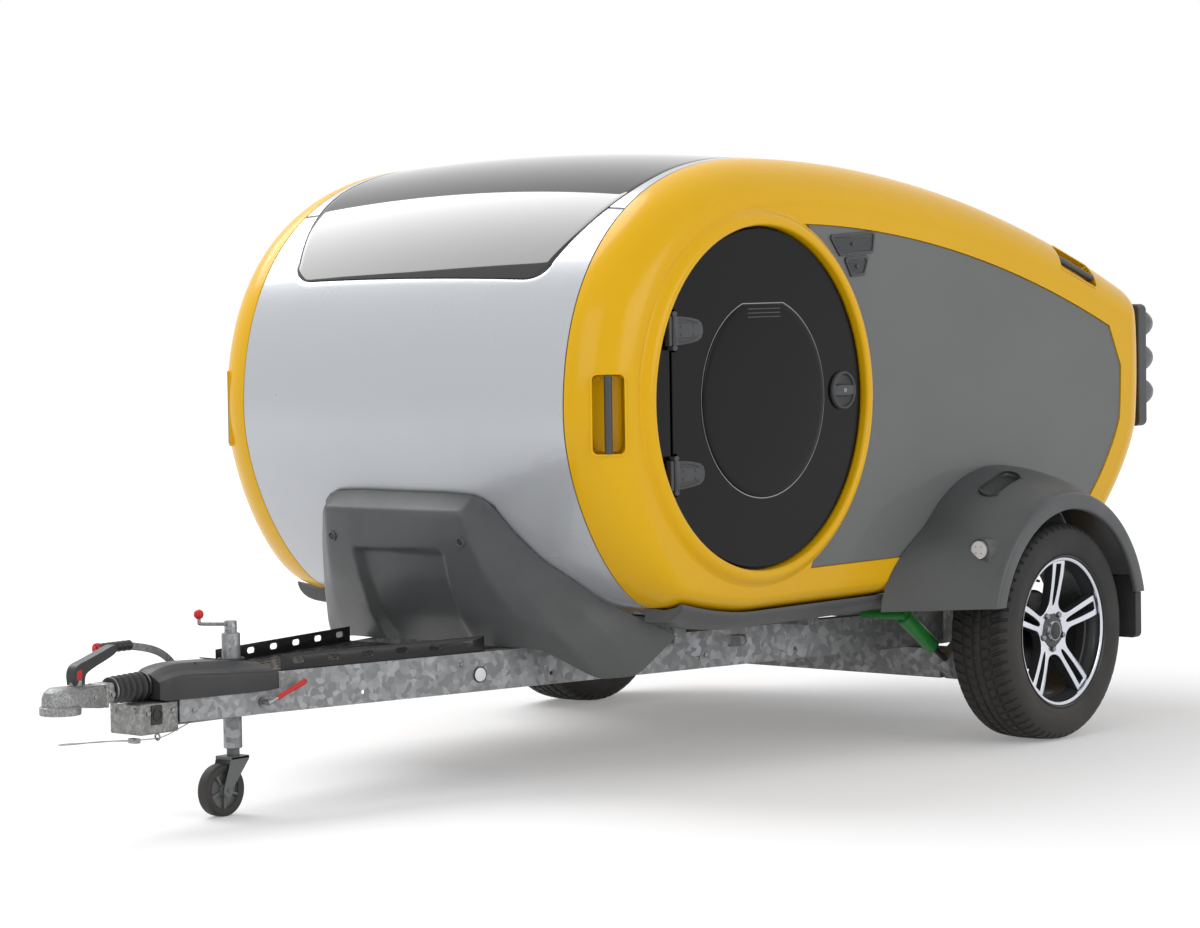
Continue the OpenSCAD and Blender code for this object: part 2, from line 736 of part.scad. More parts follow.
module axle_beam() {
  color("silver") box(arm_x - beam_h / 2, arm_x + beam_h / 2, -beam_end, beam_end,
    rail_z - 0.3 - beam_h, rail_z - 0.3);
}

hub_y0 = half_w + 12;
hub_y1 = tyre_face_y - 65;

module swing_arms() {
  color([0.16, 0.16, 0.17]) both_sides() {
    along_y(beam_end + 0.3, beam_end + 34) union() {
      translate([arm_x, arm_z]) circle(r = 46);
      translate([axle_x, tyre_r]) circle(r = 46);
      polygon([[arm_x - 24, arm_z - 40], [arm_x + 24, arm_z + 40],
        [axle_x + 24, tyre_r + 40], [axle_x - 24, tyre_r - 40]]);
    }
    rod_y(axle_x, tyre_r, stub_r, beam_end + 30, hub_y1 - 6);
    rod_y(axle_x, tyre_r, 118, beam_end + 34, hub_y0 - 8);
  }
}

damper_y = half_w - 43;
damper_top = [-600, damper_y, 384];
damper_low = [arm_x + 18, damper_y, arm_z - 2];

module dampers() {
  run = damper_low - damper_top;
  color("limegreen") both_sides() {
    bar(damper_top + run * 0.02, damper_top + run * 0.62, 24);
    bar(damper_top + run * 0.62, damper_top + run * 0.8866, 9);
    rod_y(damper_top[0], damper_top[2], 14, rail_axle_y - 40, damper_y + 14);
  }
}

// ---- hitch
box_front_x = 1768;
box_y = rail_front_y - 4;
box_z0 = 245;
box_z1 = 323.7;
box_wall = 5;
ring_eye = [1712, box_y - 2.5, box_z0 - 7];
ring_eye_r = 8;
ring_eye_wire = 2.5;

module drawbar_box() {
  color("silver") {
    difference() {
      union() {
        box(rail_front_x + seat, box_front_x, -box_y, box_y, box_z0, box_z1);
        box(1480, rail_front_x + 40, -50, 50, rail_z + rail_t + seat, box_z1);
      }
      box(rail_front_x - 400, box_front_x - box_wall, -50 + box_wall, 50 - box_wall,
        box_z0 - 5, box_z1 - box_wall);
    }
    translate(ring_eye) rotate([0, 90, 0]) rotate_extrude($fn = 48)
      translate([ring_eye_r, 0]) circle(r = ring_eye_wire, $fn = 24);
  }
}

gaiter_x0 = 1706;
gaiter_x1 = 1822;
gaiter_z = 362;
gaiter_r = 38;

module drawtube_gaiter() {
  folds = 4;
  n = folds * 4;
  color([0.24, 0.24, 0.24]) translate([gaiter_x0, 0, gaiter_z]) rotate([0, 90, 0]) rotate_extrude()
    polygon(concat(
      [[0, 0]],
      [for (i = [0:n]) [gaiter_r - 5 + 5 * cos(360 * folds * i / n + 180), (gaiter_x1 - gaiter_x0) * i / n]],
      [[0, gaiter_x1 - gaiter_x0]]
    ));
}

socket_x = coupling_tip_x - 52;
socket_len = 34;

module coupling_head() {
  nose_r = 46;
  color([0.72, 0.72, 0.7]) difference() {
    union() {
      translate([socket_x, 0, coupling_z - 28]) cylinder(r = nose_r + 6, h = 22);
      translate([socket_x, 0, coupling_z - 28]) cylinder(r = nose_r, h = 46);
      translate([socket_x, 0, coupling_z + 18]) cylinder(r1 = nose_r, r2 = 26, h = 22);
      box(1850, socket_x, -36, 36, coupling_z - 22, coupling_z + 38);
      box(gaiter_x1 + 0.3, 1852, -30, 30, coupling_z - 12, coupling_z + 40);
    }
    translate([socket_x, 0, coupling_z - 60]) cylinder(r = ball_d / 2 + 0.4, h = 60 + socket_len - 28);
  }
}

module coupling_handle() {
  color([0.34, 0.36, 0.36]) {
    bar([1930, 0, coupling_z + 38.3], [1930, 0, 425], 18);
    bar([1926, 0, 422], [1806, 0, 462], 15);
  }
}

lever_y = -108;
lever_t = 6;
LEVER = [[1505, 296], [1496, 340], [1500, 387], [1532, 418], [1579, 438], [1649, 452], [1700, 455]];
lever_w = 20;
lever_grip_x1 = 1770;

module handbrake_lever() {
  n = len(LEVER) - 1;
  function side(i, d) =
    let (a = LEVER[max(0, i - 1)], b = LEVER[min(n, i + 1)], t = (b - a) / norm(b - a))
    LEVER[i] + d * [-t[1], t[0]];
  color([0.55, 0.55, 0.56]) {
    along_y(lever_y - lever_t / 2, lever_y + lever_t / 2) polygon(concat(
      [for (i = [0:n]) side(i, lever_w / 2)], [for (i = [n:-1:0]) side(i, -lever_w / 2)]
    ));
    rod_y(LEVER[0][0], LEVER[0][1] + 6, 10, lever_y - 8, -rail_y(LEVER[0][0] - 10) - 0.4);
  }
  color([0.1, 0.1, 0.1]) translate([1649, lever_y, 454]) rotate([0, 90, 0])
    cylinder(r = 15, h = lever_grip_x1 - 1649);
}

// drawbar cover: rings from front to rear, [x, half width, base, shoulder, top]
COVER = [
  [1704, 60, 330, 372, 392], [1680, 68, 326, 380, 404], [1620, 74, 325, 386, 412],
  [1500, 97, 325, 380, 408], [1400, 117, 326, 376, 400], [1352, 127, 330, 374, 392]
];
cover_roof = 381;

function rail_y(x) = rail_front_y + (rail_front_x - x) * tan(rail_turn);

module drawbar_cover() {
  rings = [for (i = [len(COVER) - 1:-1:0]) let (c = COVER[i]) [
    [c[0], c[1], c[2]], [c[0], c[1], c[3] - 2], [c[0], c[1] * 0.7, c[3] + 8], [c[0], c[1] * 0.4, c[4]],
    [c[0], -c[1] * 0.4, c[4]], [c[0], -c[1] * 0.7, c[3] + 8], [c[0], -c[1], c[3] - 2], [c[0], -c[1], c[2]]
  ]];
  color([0.15, 0.15, 0.16]) difference() {
    loft(rings);
    translate([jockey_x, 0, 200]) cylinder(r = jockey_tube_d / 2 + 6, h = 300);
    translate([0, 0, rail_z]) linear_extrude(rail_h + seat) rail_space(1.2);
    translate([0, 0, rail_z]) linear_extrude(cover_roof - rail_z) rail_space(-rail_flange - 2);
  }
}

// plan of the wedge between the outer faces of the rails, up to the cover's front wall
module rail_space(e) {
  x0 = tray_front_x - 60;
  polygon([[x0, -rail_y(x0) - e], [COVER[0][0] - 4, -rail_front_y - min(e, 0)],
    [COVER[0][0] - 4, rail_front_y + min(e, 0)], [rail_front_x, rail_front_y + e], [x0, rail_y(x0) + e],
    [x0, 0]]);
}

tray_z = rail_top + seat;
tray_front_x = 1338;
tray_rear_x = 700;
tray_h = 42;

module tray_floor() {
  color([0.07, 0.07, 0.08]) translate([0, 0, tray_z]) linear_extrude(3) polygon([
    [tray_front_x, -rail_y(tray_front_x) + 6.4], [tray_front_x, rail_y(tray_front_x) - 6.4],
    [tray_rear_x, rail_y(tray_rear_x) - 6.4], [tray_rear_x, -rail_y(tray_rear_x) + 6.4]
  ]);
}

tray_slots = 6;
tray_slot_l = 36;
tray_slot_r = 8;

module tray_sides() {
  l = (tray_front_x - tray_rear_x) / cos(rail_turn);
  color([0.1, 0.1, 0.11]) both_sides()
    translate([tray_front_x, rail_y(tray_front_x) - 3, tray_z]) rotate([0, 0, 180 - rail_turn])
      difference() {
        cube([l, 3, tray_h]);
        for (i = [0:tray_slots - 1]) let (x = l * (i + 0.5) / tray_slots) {
          for (k = [-1, 1]) translate([x + k * (tray_slot_l / 2 - tray_slot_r), -1, 24])
            rotate([-90, 0, 0]) cylinder(r = tray_slot_r, h = 5);
          translate([x - tray_slot_l / 2 + tray_slot_r, -1, 24 - tray_slot_r])
            cube([tray_slot_l - 2 * tray_slot_r, 5, 2 * tray_slot_r]);
        }
      }
}

clamp_z0 = 276;
clamp_z1 = 324;
clamp_y = rail_y(jockey_x + 20) - rail_t - 1;
jockey_low = 172;
jockey_top = 500;

module jockey_clamp() {
  color("silver") {
    difference() {
      union() {
        translate([jockey_x, 0, clamp_z0]) cylinder(r = jockey_tube_d / 2 + 9, h = clamp_z1 - clamp_z0);
        box(jockey_x - 20, jockey_x + 20, -clamp_y, clamp_y, rail_z + rail_t + seat, clamp_z1 - 10);
      }
      translate([jockey_x, 0, clamp_z0 - 10]) cylinder(r = jockey_tube_d / 2 + pin_play, h = 80);
    }
  }
  color("red") {
    rod_y(jockey_x, 298, 7, rail_y(jockey_x) + 1.8, rail_y(jockey_x) + 30);
    bar([jockey_x, rail_y(jockey_x) + 27, 298], [jockey_x - 110, rail_y(jockey_x) + 48, 345], 8);
  }
}

module jockey_tube() {
  color("silver") {
    translate([jockey_x, 0, jockey_low]) cylinder(r = jockey_tube_d / 2, h = jockey_top - 30 - jockey_low);
    translate([jockey_x, 0, jockey_top - 31]) cylinder(r = 16, h = 32);
    bar([jockey_x + 4, 0, jockey_top - 8], [jockey_x + 108, 0, jockey_top + 2], 5);
    bar([jockey_x + 108, 0, jockey_top - 2], [jockey_x + 112, 0, jockey_top + 18], 5);
  }
  color("red") translate([jockey_x + 112, 0, jockey_top + 26]) sphere(r = 13);
}

jockey_axle_x = jockey_x + jockey_trail;

module jockey_fork() {
  plate_y = 26;
  color([0.55, 0.58, 0.62]) {
    translate([jockey_x, 0, jockey_r * 2 + 16]) cylinder(r = 17, h = jockey_low - 0.4 - jockey_r * 2 - 16);
    box(jockey_x - 30, jockey_x + 36, -plate_y - 3, plate_y + 3, jockey_r * 2 + 8, jockey_r * 2 + 17);
    both_sides() along_y(plate_y, plate_y + 3) union() {
      polygon([[jockey_x - 30, jockey_r * 2 + 17], [jockey_x + 36, jockey_r * 2 + 17],
        [jockey_axle_x + 16, jockey_r + 6], [jockey_axle_x - 16, jockey_r - 8]]);
      translate([jockey_axle_x, jockey_r]) circle(r = 17);
    }
    rod_y(jockey_axle_x, jockey_r, 6, -plate_y - 6, plate_y + 6);
  }
}

module jockey_wheel() {
  w = 40;
  color([0.17, 0.17, 0.17]) translate([jockey_axle_x, -w / 2, jockey_r]) rotate([-90, 0, 0])
    rotate_extrude() polygon([
      [6 + pin_play, 0], [jockey_r - 6, 0], [jockey_r - 1.5, 3], [jockey_r, 8],
      [jockey_r, w - 8], [jockey_r - 1.5, w - 3], [jockey_r - 6, w], [6 + pin_play, w]
    ]);
}

brake_rod_y = 36;

module brake_rod() {
  color([0.6, 0.6, 0.6]) bar([box_front_x - box_wall - 1, brake_rod_y, 262],
    [arm_x + beam_h / 2 + 1, brake_rod_y, 236], 3);
}

// breakaway cable: round points from under the left rail, through its guide ring, to its clip
CABLE = [
  [1590, 60, 265.2], [1612, 62, 262], [1640, 63, 254], [1675, 62, 243], [1700, 58, 236],
  [1712, box_y - 2.5, 234.2], [1735, 50, 234], [1765, 40, 234], [1800, 30, 236],
  [1840, 20, 238], [1880, 0, 238], [1915, -20, 236], [1935, -45, 234], [1930, -68, 232],
  [1900, -78, 230], [1860, -74, 228], [1820, -50, 228], [1790, -20, 230], [1772, 22, 231]
];
cable_r = 1.5;

module breakaway_cable() { color([0.55, 0.55, 0.56]) cable(cable_r); }

// round cord through the points of the breakaway cable
module cable(r) {
  sides = 8;
  function tangent(i) =
    let (a = CABLE[max(0, i - 1)], b = CABLE[min(len(CABLE) - 1, i + 1)]) (b - a) / norm(b - a);
  loft([for (i = [0:len(CABLE) - 1])
    let (t = tangent(i), u = cross(t, [0, 0, 1]) / norm(cross(t, [0, 0, 1])), v = cross(t, u))
    [for (k = [0:sides - 1]) CABLE[i] + r * (cos(360 * k / sides) * u + sin(360 * k / sides) * v)]
  ]);
}

module breakaway_clip() {
  color([0.6, 0.6, 0.62]) difference() {
    translate([1760, 17, 226]) cube([16, 28, 12]);
    cable(cable_r + 0.1);
  }
}

// ---- wheels
module tyre() {
  y1 = tyre_face_y;
  y0 = y1 - tyre_w;
  bead = rim_r - 15;
  color([0.13, 0.13, 0.13]) translate([axle_x, 0, tyre_r]) rotate([-90, 0, 0]) rotate_extrude($fn = 128)
    polygon([
      [bead, y0 + 15], [rim_r, y0 + 9], [rim_r + 20, y0 + 3], [tyre_r - 50, y0], [tyre_r - 22, y0 + 4],
      [tyre_r - 8, y0 + 15], [tyre_r - 2, y0 + 24], [tyre_r, y0 + 36], [tyre_r, y1 - 36],
      [tyre_r - 2, y1 - 24], [tyre_r - 8, y1 - 15], [tyre_r - 22, y1 - 4], [tyre_r - 50, y1],
      [rim_r + 20, y1 - 3], [rim_r, y1 - 9], [bead, y1 - 15]
    ]);
}

spokes = 5;
hub_r = 62;

module rim() {
  y1 = tyre_face_y;
  y0 = y1 - tyre_w;
  bead = rim_r - 15.3;
  color([0.8, 0.8, 0.83]) translate([axle_x, 0, tyre_r]) rotate([-90, 0, 0]) difference() {
    union() {
      rotate_extrude() polygon([
        [bead, y0 + 15], [bead, y1 - 15], [rim_r - 0.5, y1 - 8.4], [rim_r - 0.5, y1 - 4],
        [rim_r - 8, y1 - 5], [bead - 8, y1 - 12], [bead - 12, y1 - 50], [bead - 12, y0 + 22],
        [bead - 6, y0 + 8], [rim_r - 6, y0 + 3], [rim_r - 0.5, y0 + 3], [rim_r - 0.5, y0 + 8.4]
      ]);
      for (i = [0:spokes - 1]) for (k = [-1, 1]) rotate([0, 0, -90 + 360 * i / spokes + k * 7])
        translate([30, -9 + k * 2, y1 - 62]) cube([bead - 36, 18, 34]);
      translate([0, 0, y1 - 66]) cylinder(r = hub_r, h = 36);
      translate([0, 0, hub_y0]) cylinder(r = 116, h = y1 - 110 - hub_y0);
      translate([0, 0, hub_y0]) cylinder(r = 70, h = y1 - 64 - hub_y0);
    }
    translate([0, 0, hub_y0 - 20]) cylinder(r = stub_r + pin_play, h = hub_y1 - hub_y0 + 20);
  }
}

module tyre_left() { tyre(); }
module tyre_right() { mirror_side(false) tyre(); }
module rim_left() { rim(); }
module rim_right() { mirror_side(false) rim(); }
module door_left() { color([0.06, 0.06, 0.07]) door(); }
module door_right() { color([0.06, 0.06, 0.07]) mirror_side(false) door(); }
module door_window_left() { color([0.04, 0.04, 0.05]) door_window(); }
module door_window_right() { color([0.04, 0.04, 0.05]) mirror_side(false) door_window(); }
module door_fittings_left() { color([0.18, 0.18, 0.19]) door_fittings(); }
module door_fittings_right() { color([0.18, 0.18, 0.19]) mirror_side(false) door_fittings(); }

side_shell_left();
side_shell_right();
side_panels();
front_panel();
skylight();
roof_panel();
rear_frame();
floor_pan();
bulkhead();
front_guard();
sills();
fender_left();
fender_right();
mudflaps();
marker_lamps();
grab_bars();
lamp_boards();
rear_lamps();
hinge_plates();
hatch_hinges();
chassis_rail_left();
chassis_rail_right();
cross_members();
axle_beam();
swing_arms();
dampers();
drawbar_box();
drawtube_gaiter();
coupling_head();
coupling_handle();
handbrake_lever();
drawbar_cover();
tray_floor();
tray_sides();
jockey_clamp();
brake_rod();
breakaway_cable();
breakaway_clip();
tyre_left();
tyre_right();
rim_left();
rim_right();
door_left();
door_right();
door_window_left();
door_window_right();
door_fittings_left();
door_fittings_right();
rear_hatch();
jockey_tube();
jockey_fork();
jockey_wheel();
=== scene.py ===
"""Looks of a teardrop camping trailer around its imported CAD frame: body shells, wheels, chassis, hitch."""
import json
import math
from math import acos, asin, atan2, cos, dist, hypot, pi, radians, sin, sqrt, tan

import bmesh
import bpy
import numpy as np
from mathutils import Matrix, Vector

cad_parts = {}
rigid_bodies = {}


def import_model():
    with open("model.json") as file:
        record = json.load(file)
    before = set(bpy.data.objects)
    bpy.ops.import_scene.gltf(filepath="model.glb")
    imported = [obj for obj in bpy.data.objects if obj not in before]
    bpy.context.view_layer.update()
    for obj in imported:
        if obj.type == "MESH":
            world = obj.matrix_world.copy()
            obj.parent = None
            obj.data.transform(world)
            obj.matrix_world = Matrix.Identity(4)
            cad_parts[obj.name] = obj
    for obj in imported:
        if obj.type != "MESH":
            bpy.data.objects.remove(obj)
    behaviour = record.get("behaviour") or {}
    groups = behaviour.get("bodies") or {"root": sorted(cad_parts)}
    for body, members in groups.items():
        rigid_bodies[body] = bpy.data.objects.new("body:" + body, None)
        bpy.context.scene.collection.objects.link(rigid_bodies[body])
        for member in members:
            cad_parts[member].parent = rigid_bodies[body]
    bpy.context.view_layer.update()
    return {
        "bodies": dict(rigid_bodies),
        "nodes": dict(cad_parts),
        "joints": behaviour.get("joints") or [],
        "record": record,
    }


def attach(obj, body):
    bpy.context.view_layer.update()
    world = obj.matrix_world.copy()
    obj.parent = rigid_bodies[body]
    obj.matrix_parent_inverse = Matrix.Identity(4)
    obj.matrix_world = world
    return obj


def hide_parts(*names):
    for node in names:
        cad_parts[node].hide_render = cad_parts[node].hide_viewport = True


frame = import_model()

ROOT = "trailer"

# ---------------------------------------------------------------- sizes, in metres
HALF_WIDTH = 0.735
EDGE_WIDTH = 0.146
EDGE_DEPTH, LOW_EDGE_DEPTH = 0.125, 0.06
SEAM_Y = HALF_WIDTH - EDGE_WIDTH
CROWN = 0.026
FLOOR_Z = 0.44
NOSE_X, NOSE_Z = 0.757, 1.013
ROOF_Z = 1.686
TAIL_X = -1.886
DOOR_X, DOOR_Z = 0.11, 1.034
DOOR_OPEN_R = 0.465
RING_R = 0.51
RING_PROUD = 0.024
HINGE_X = DOOR_X + 0.382
HINGE_RISE = 0.19
PANE_R = 0.27
AXLE_X, AXLE_Z = -1.013, 0.317
TYRE_FACE_Y = 0.98
TYRE_WIDTH = 0.205

# outline of the cabin's side: x, z, heading, handle before, handle after, depth of the rounded edge
KNOTS = [
    (NOSE_X - 0.34, FLOOR_Z + 0.04, 12, 0.08, 0.145, LOW_EDGE_DEPTH),
    (NOSE_X, NOSE_Z, 90, 0.23, 0.407, EDGE_DEPTH),
    (NOSE_X - 0.772, ROOF_Z, 180, 0.484, 0.609, EDGE_DEPTH),
    (TAIL_X + 0.086, ROOF_Z - 0.362, 202, 0.596, 0.062, EDGE_DEPTH),
    (TAIL_X, ROOF_Z - 0.496, 266, 0.078, 0.1, EDGE_DEPTH),
    (TAIL_X + 0.006, ROOF_Z - 0.796, 276, 0.1, 0.12, EDGE_DEPTH),
    (TAIL_X + 0.636, FLOOR_Z, 360, 0.33, 0.3, LOW_EDGE_DEPTH),
    (NOSE_X - 0.637, FLOOR_Z, 360, 0.3, 0.1, LOW_EDGE_DEPTH),
    (NOSE_X - 0.34, FLOOR_Z + 0.04, 372, 0.08, 0.145, LOW_EDGE_DEPTH),
]
REAR_LOW = 6
LOOP_END = 8

# stations of the panel joints along that outline
SKY_START = 1.323
SKY_BREAK = 1.57
SKY_FULL = 1.75
SKY_END = 2.08
HATCH_START = 2.803
HATCH_END = 5.3
SKY_LOW_Y = 0.47
SKY_HIGH_Y = 0.562
HATCH_HALF = 0.5


def cosd(angle):
    """Cosine of an angle in degrees."""
    return cos(radians(angle))


def sind(angle):
    """Sine of an angle in degrees."""
    return sin(radians(angle))


def mm(*points):
    """Points given in millimetres, turned into metres."""
    return [tuple(value / 1000 for value in point) for point in points]


def along(angle):
    return np.array([cosd(angle), sind(angle)])


def outline(t, share=0.0, inset=0.0):
    """Point (x, z) of the side outline at station t, moved in by a share of the edge depth and by inset."""
    i = max(0, min(int(math.floor(t)), LOOP_END - 1))
    a, b = KNOTS[i], KNOTS[i + 1]
    da = share * a[5] + inset
    db = share * b[5] + inset
    k = 4 / 3 * tan(radians((b[2] - a[2]) / 4))
    p = np.array(a[:2]) + da * along(a[2] + 90)
    q = np.array(b[:2]) + db * along(b[2] + 90)
    u = t - i
    p1 = p + (a[4] - da * k) * along(a[2])
    q1 = q - (b[3] - db * k) * along(b[2])
    return (1 - u) ** 3 * p + 3 * (1 - u) ** 2 * u * p1 + 3 * (1 - u) * u * u * q1 + u ** 3 * q


def heading(t):
    d = outline(t + 0.01) - outline(t - 0.01)
    return math.degrees(atan2(d[1], d[0]))


def edge_point(t, angle, depth=0.0):
    """Skin point of the rounded edge at station t, angle degrees past the roof seam."""
    c, s = cosd(angle), sind(angle)
    p = outline(t, 1 - c, depth * c)
    return Vector((p[0], SEAM_Y + (EDGE_WIDTH - depth) * s, p[1]))


def bulge(t):
    return CROWN * min(1.0, t / 0.4, max(0.0, REAR_LOW - t) / 0.4)


def roof_point(t, y, depth=0.0):
    """Skin point of nose, roof and tail at station t and half width y."""
    p = outline(t, 0.0, depth - bulge(t) * (1 - (y / SEAM_Y) ** 2))
    return Vector((p[0], y, p[1]))


def spread(a, b, n):
    return [a + (b - a) * i / n for i in range(n + 1)]


def blend(a, b, u):
    return a + (b - a) * u


def ease(u):
    u = max(0.0, min(1.0, u))
    return u * u * (3 - 2 * u)


# ---------------------------------------------------------------- mesh making
def linked(name, data):
    """New object of the scene with the given mesh, lamp or camera data."""
    item = bpy.data.objects.new(name, data)
    bpy.context.collection.objects.link(item)
    return item


def from_bmesh(name, bm):
    mesh = bpy.data.meshes.new(name)
    bm.to_mesh(mesh)
    bm.free()
    return linked(name, mesh)


def coated(piece, material):
    piece.data.materials.append(material)
    return piece


def coat_all(*pairs):
    """Coats each piece of the (piece, material) pairs and returns the pieces."""
    return [coated(piece, material) for piece, material in pairs]


def flipped(piece):
    """Mirrors a piece's mesh to the other side of the vehicle."""
    piece.data.transform(Matrix.Diagonal((1, -1, 1, 1)))
    piece.data.flip_normals()
    return piece


def new_piece(name, vertices, faces):
    mesh = bpy.data.meshes.new(name)
    mesh.from_pydata([tuple(v) for v in vertices], [], faces)
    mesh.update()
    return linked(name, mesh)


def tidy_normals(piece):
    bm = bmesh.new()
    bm.from_mesh(piece.data)
    bmesh.ops.remove_doubles(bm, verts=bm.verts, dist=1e-6)
    bmesh.ops.recalc_face_normals(bm, faces=bm.faces)
    bm.to_mesh(piece.data)
    bm.free()
    return piece


def smooth(piece, sharp=32):
    piece.data.shade_smooth()
    piece.data.set_sharp_from_angle(angle=radians(sharp))
    return piece


def grid_faces(rows, cols, start=0, wrap=False, flip=False):
    faces = []
    for r in range(rows if wrap else rows - 1):
        for c in range(cols - 1):
            a, b = start + r * cols + c, start + (r + 1) % rows * cols + c
            quad = (a, b, b + 1, a + 1)
            faces.append(quad[::-1] if flip else quad)
    return faces


def sheet(name, outer, inner, wrap=False):
    """Closed solid between an outer and an inner grid of points, rows by columns."""
    rows, cols = len(outer), len(outer[0])
    n = rows * cols
    points = [p for row in outer for p in row] + [p for row in inner for p in row]
    faces = grid_faces(rows, cols, 0, wrap) + grid_faces(rows, cols, n, wrap, True)
    for r in range(rows if wrap else rows - 1):
        for c in (0, cols - 1):
            a, b = r * cols + c, (r + 1) % rows * cols + c
            faces.append((a, b, n + b, n + a) if c else (b, a, n + a, n + b))
    if not wrap:
        for r in (0, rows - 1):
            for c in range(cols - 1):
                a, b = r * cols + c, r * cols + c + 1
                faces.append((b, a, n + a, n + b) if r else (a, b, n + b, n + a))
    return tidy_normals(new_piece(name, points, faces))


def revolve(name, profile, centre, axis="Y", steps=96):
    """Turned solid: profile is a list of (radius, distance along the axis) from centre.

    A profile that starts and ends on the axis is left open there.
    """
    points = []
    for i in range(steps):
        a = 2 * pi * i / steps
        for r, h in profile:
            u, v = r * cos(a), r * sin(a)
            offset = {"X": (h, u, v), "Y": (u, h, v), "Z": (u, v, h)}[axis]
            points.append(Vector(centre) + Vector(offset))
    n = len(profile)
    faces = grid_faces(steps, n, 0, True)
    if max(profile[0][0], profile[-1][0]) > 1e-9:
        for i in range(steps):
            j = (i + 1) % steps
            faces.append((i * n + n - 1, j * n + n - 1, j * n, i * n))
    return tidy_normals(new_piece(name, points, faces))


def place(axis, u, v, depth):
    return {"X": (depth, u, v), "Y": (u, depth, v), "Z": (u, v, depth)}[axis]


def prism(name, border, low, high, axis="Y", holes=(), rounding=0.0, segments=3):
    """Plate with a flat outline and holes, between two depths along an axis, its edges rounded."""
    bm = bmesh.new()
    for loop in (border, *holes):
        verts = [bm.verts.new(place(axis, u, v, low)) for u, v in loop]
        for a, b in zip(verts, verts[1:] + verts[:1]):
            bm.edges.new((a, b))
    bmesh.ops.triangle_fill(bm, edges=bm.edges[:], use_beauty=True, use_dissolve=False)
    bmesh.ops.dissolve_limit(bm, angle_limit=0.01, verts=bm.verts[:], edges=bm.edges[:])
    raised = bmesh.ops.extrude_face_region(bm, geom=bm.faces[:])
    top = [g for g in raised["geom"] if isinstance(g, bmesh.types.BMVert)]
    bmesh.ops.translate(bm, verts=top, vec=Vector(place(axis, 0, 0, high - low)))
    bmesh.ops.recalc_face_normals(bm, faces=bm.faces)
    if rounding:
        rims = [e for e in bm.edges if len(e.link_faces) == 2 and e.calc_face_angle(0) > radians(50)
                and abs((e.verts[0].co - e.verts[1].co)[{"X": 0, "Y": 1, "Z": 2}[axis]]) < 1e-6]
        bmesh.ops.bevel(bm, geom=rims, offset=rounding, segments=segments, profile=0.5, affect="EDGES",
                clamp_overlap=True)
    return weigh_normals(from_bmesh(name, bm))


def weigh_normals(piece):
    smooth(piece, 40)
    modifier = piece.modifiers.new("face_weighted", "WEIGHTED_NORMAL")
    modifier.keep_sharp = True
    return piece


def block(name, low, high, rounding=0.002, segments=2):
    """Box between two corners with rounded edges."""
    bm = bmesh.new()
    bmesh.ops.create_cube(bm, size=1)
    low, high = Vector(low), Vector(high)
    for v in bm.verts:
        v.co = Vector([low[i] + (v.co[i] + 0.5) * (high[i] - low[i]) for i in range(3)])
    if rounding:
        bmesh.ops.bevel(bm, geom=bm.edges[:], offset=rounding, segments=segments, profile=0.5,
                affect="EDGES", clamp_overlap=True)
    return weigh_normals(from_bmesh(name, bm))


def ring_faces(rings, n):
    """Faces between rings of n points, with both ends closed."""
    faces = []
    for i in range(rings - 1):
        for k in range(n):
            a, b = i * n + k, i * n + (k + 1) % n
            faces.append((a, b, b + n, a + n))
    return faces + [tuple(range(n))[::-1], tuple((rings - 1) * n + k for k in range(n))]


def sweep(name, path, radius, sides=12):
    """Round bar through the points of a path."""
    path = [Vector(p) for p in path]
    points = []
    side = None
    for i, p in enumerate(path):
        t = (path[min(i + 1, len(path) - 1)] - path[max(i - 1, 0)]).normalized()
        side = t.orthogonal() if side is None else side - t * side.dot(t)
        side.normalize()
        up = t.cross(side)
        for k in range(sides):
            a = 2 * pi * k / sides
            points.append(p + radius * (cos(a) * side + sin(a) * up))
    return smooth(tidy_normals(new_piece(name, points, ring_faces(len(path), sides))), 50)


def loft(name, rings, sharp=40):
    """Closed solid through rings that have equal numbers of points."""
    points = [p for ring in rings for p in ring]
    return smooth(tidy_normals(new_piece(name, points, ring_faces(len(rings), len(rings[0])))), sharp)


def catmull(points, per_span=6):
    """Smooth line through points."""
    points = [Vector(p) for p in points]
    line = []
    for i in range(len(points) - 1):
        a = points[max(i - 1, 0)]
        b, c = points[i], points[i + 1]
        d = points[min(i + 2, len(points) - 1)]
        for k in range(per_span):
            u = k / per_span
            line.append(0.5 * (2 * b + (c - a) * u + (2 * a - 5 * b + 4 * c - d) * u * u
                    + (3 * b - a - 3 * c + d) * u ** 3))
    return line + [points[-1]]


def arc(centre, radius, start, end, n):
    return [(centre[0] + radius * cosd(a), centre[1] + radius * sind(a)) for a in spread(start, end, n)]


def rounded_outline(corners, radius, n=5):
    """Closed outline through the given corners, each rounded."""
    line = []
    count = len(corners)
    for i, corner in enumerate(corners):
        here = Vector(corner)
        before = (Vector(corners[i - 1]) - here).normalized()
        after = (Vector(corners[(i + 1) % count]) - here).normalized()
        half = before.angle(after) / 2
        cut = radius / tan(half)
        a, b = here + before * cut, here + after * cut
        centre = here + (before + after).normalized() * (radius / sin(half))
        for k in range(n + 1):
            p = a.lerp(b, k / n) - centre
            line.append(tuple(centre + p.normalized() * radius))
    return line


def stadium(centre, length, width, n=10):
    r = width / 2
    dx = length / 2 - r
    return arc((centre[0] + dx, centre[1]), r, -90, 90, n) + arc((centre[0] - dx, centre[1]), r, 90, 270, n)


def settled(piece):
    """Turns a piece's modifiers into its mesh."""
    graph = bpy.context.evaluated_depsgraph_get()
    mesh = bpy.data.meshes.new_from_object(piece.evaluated_get(graph), depsgraph=graph)
    piece.modifiers.clear()
    piece.data = mesh
    return piece


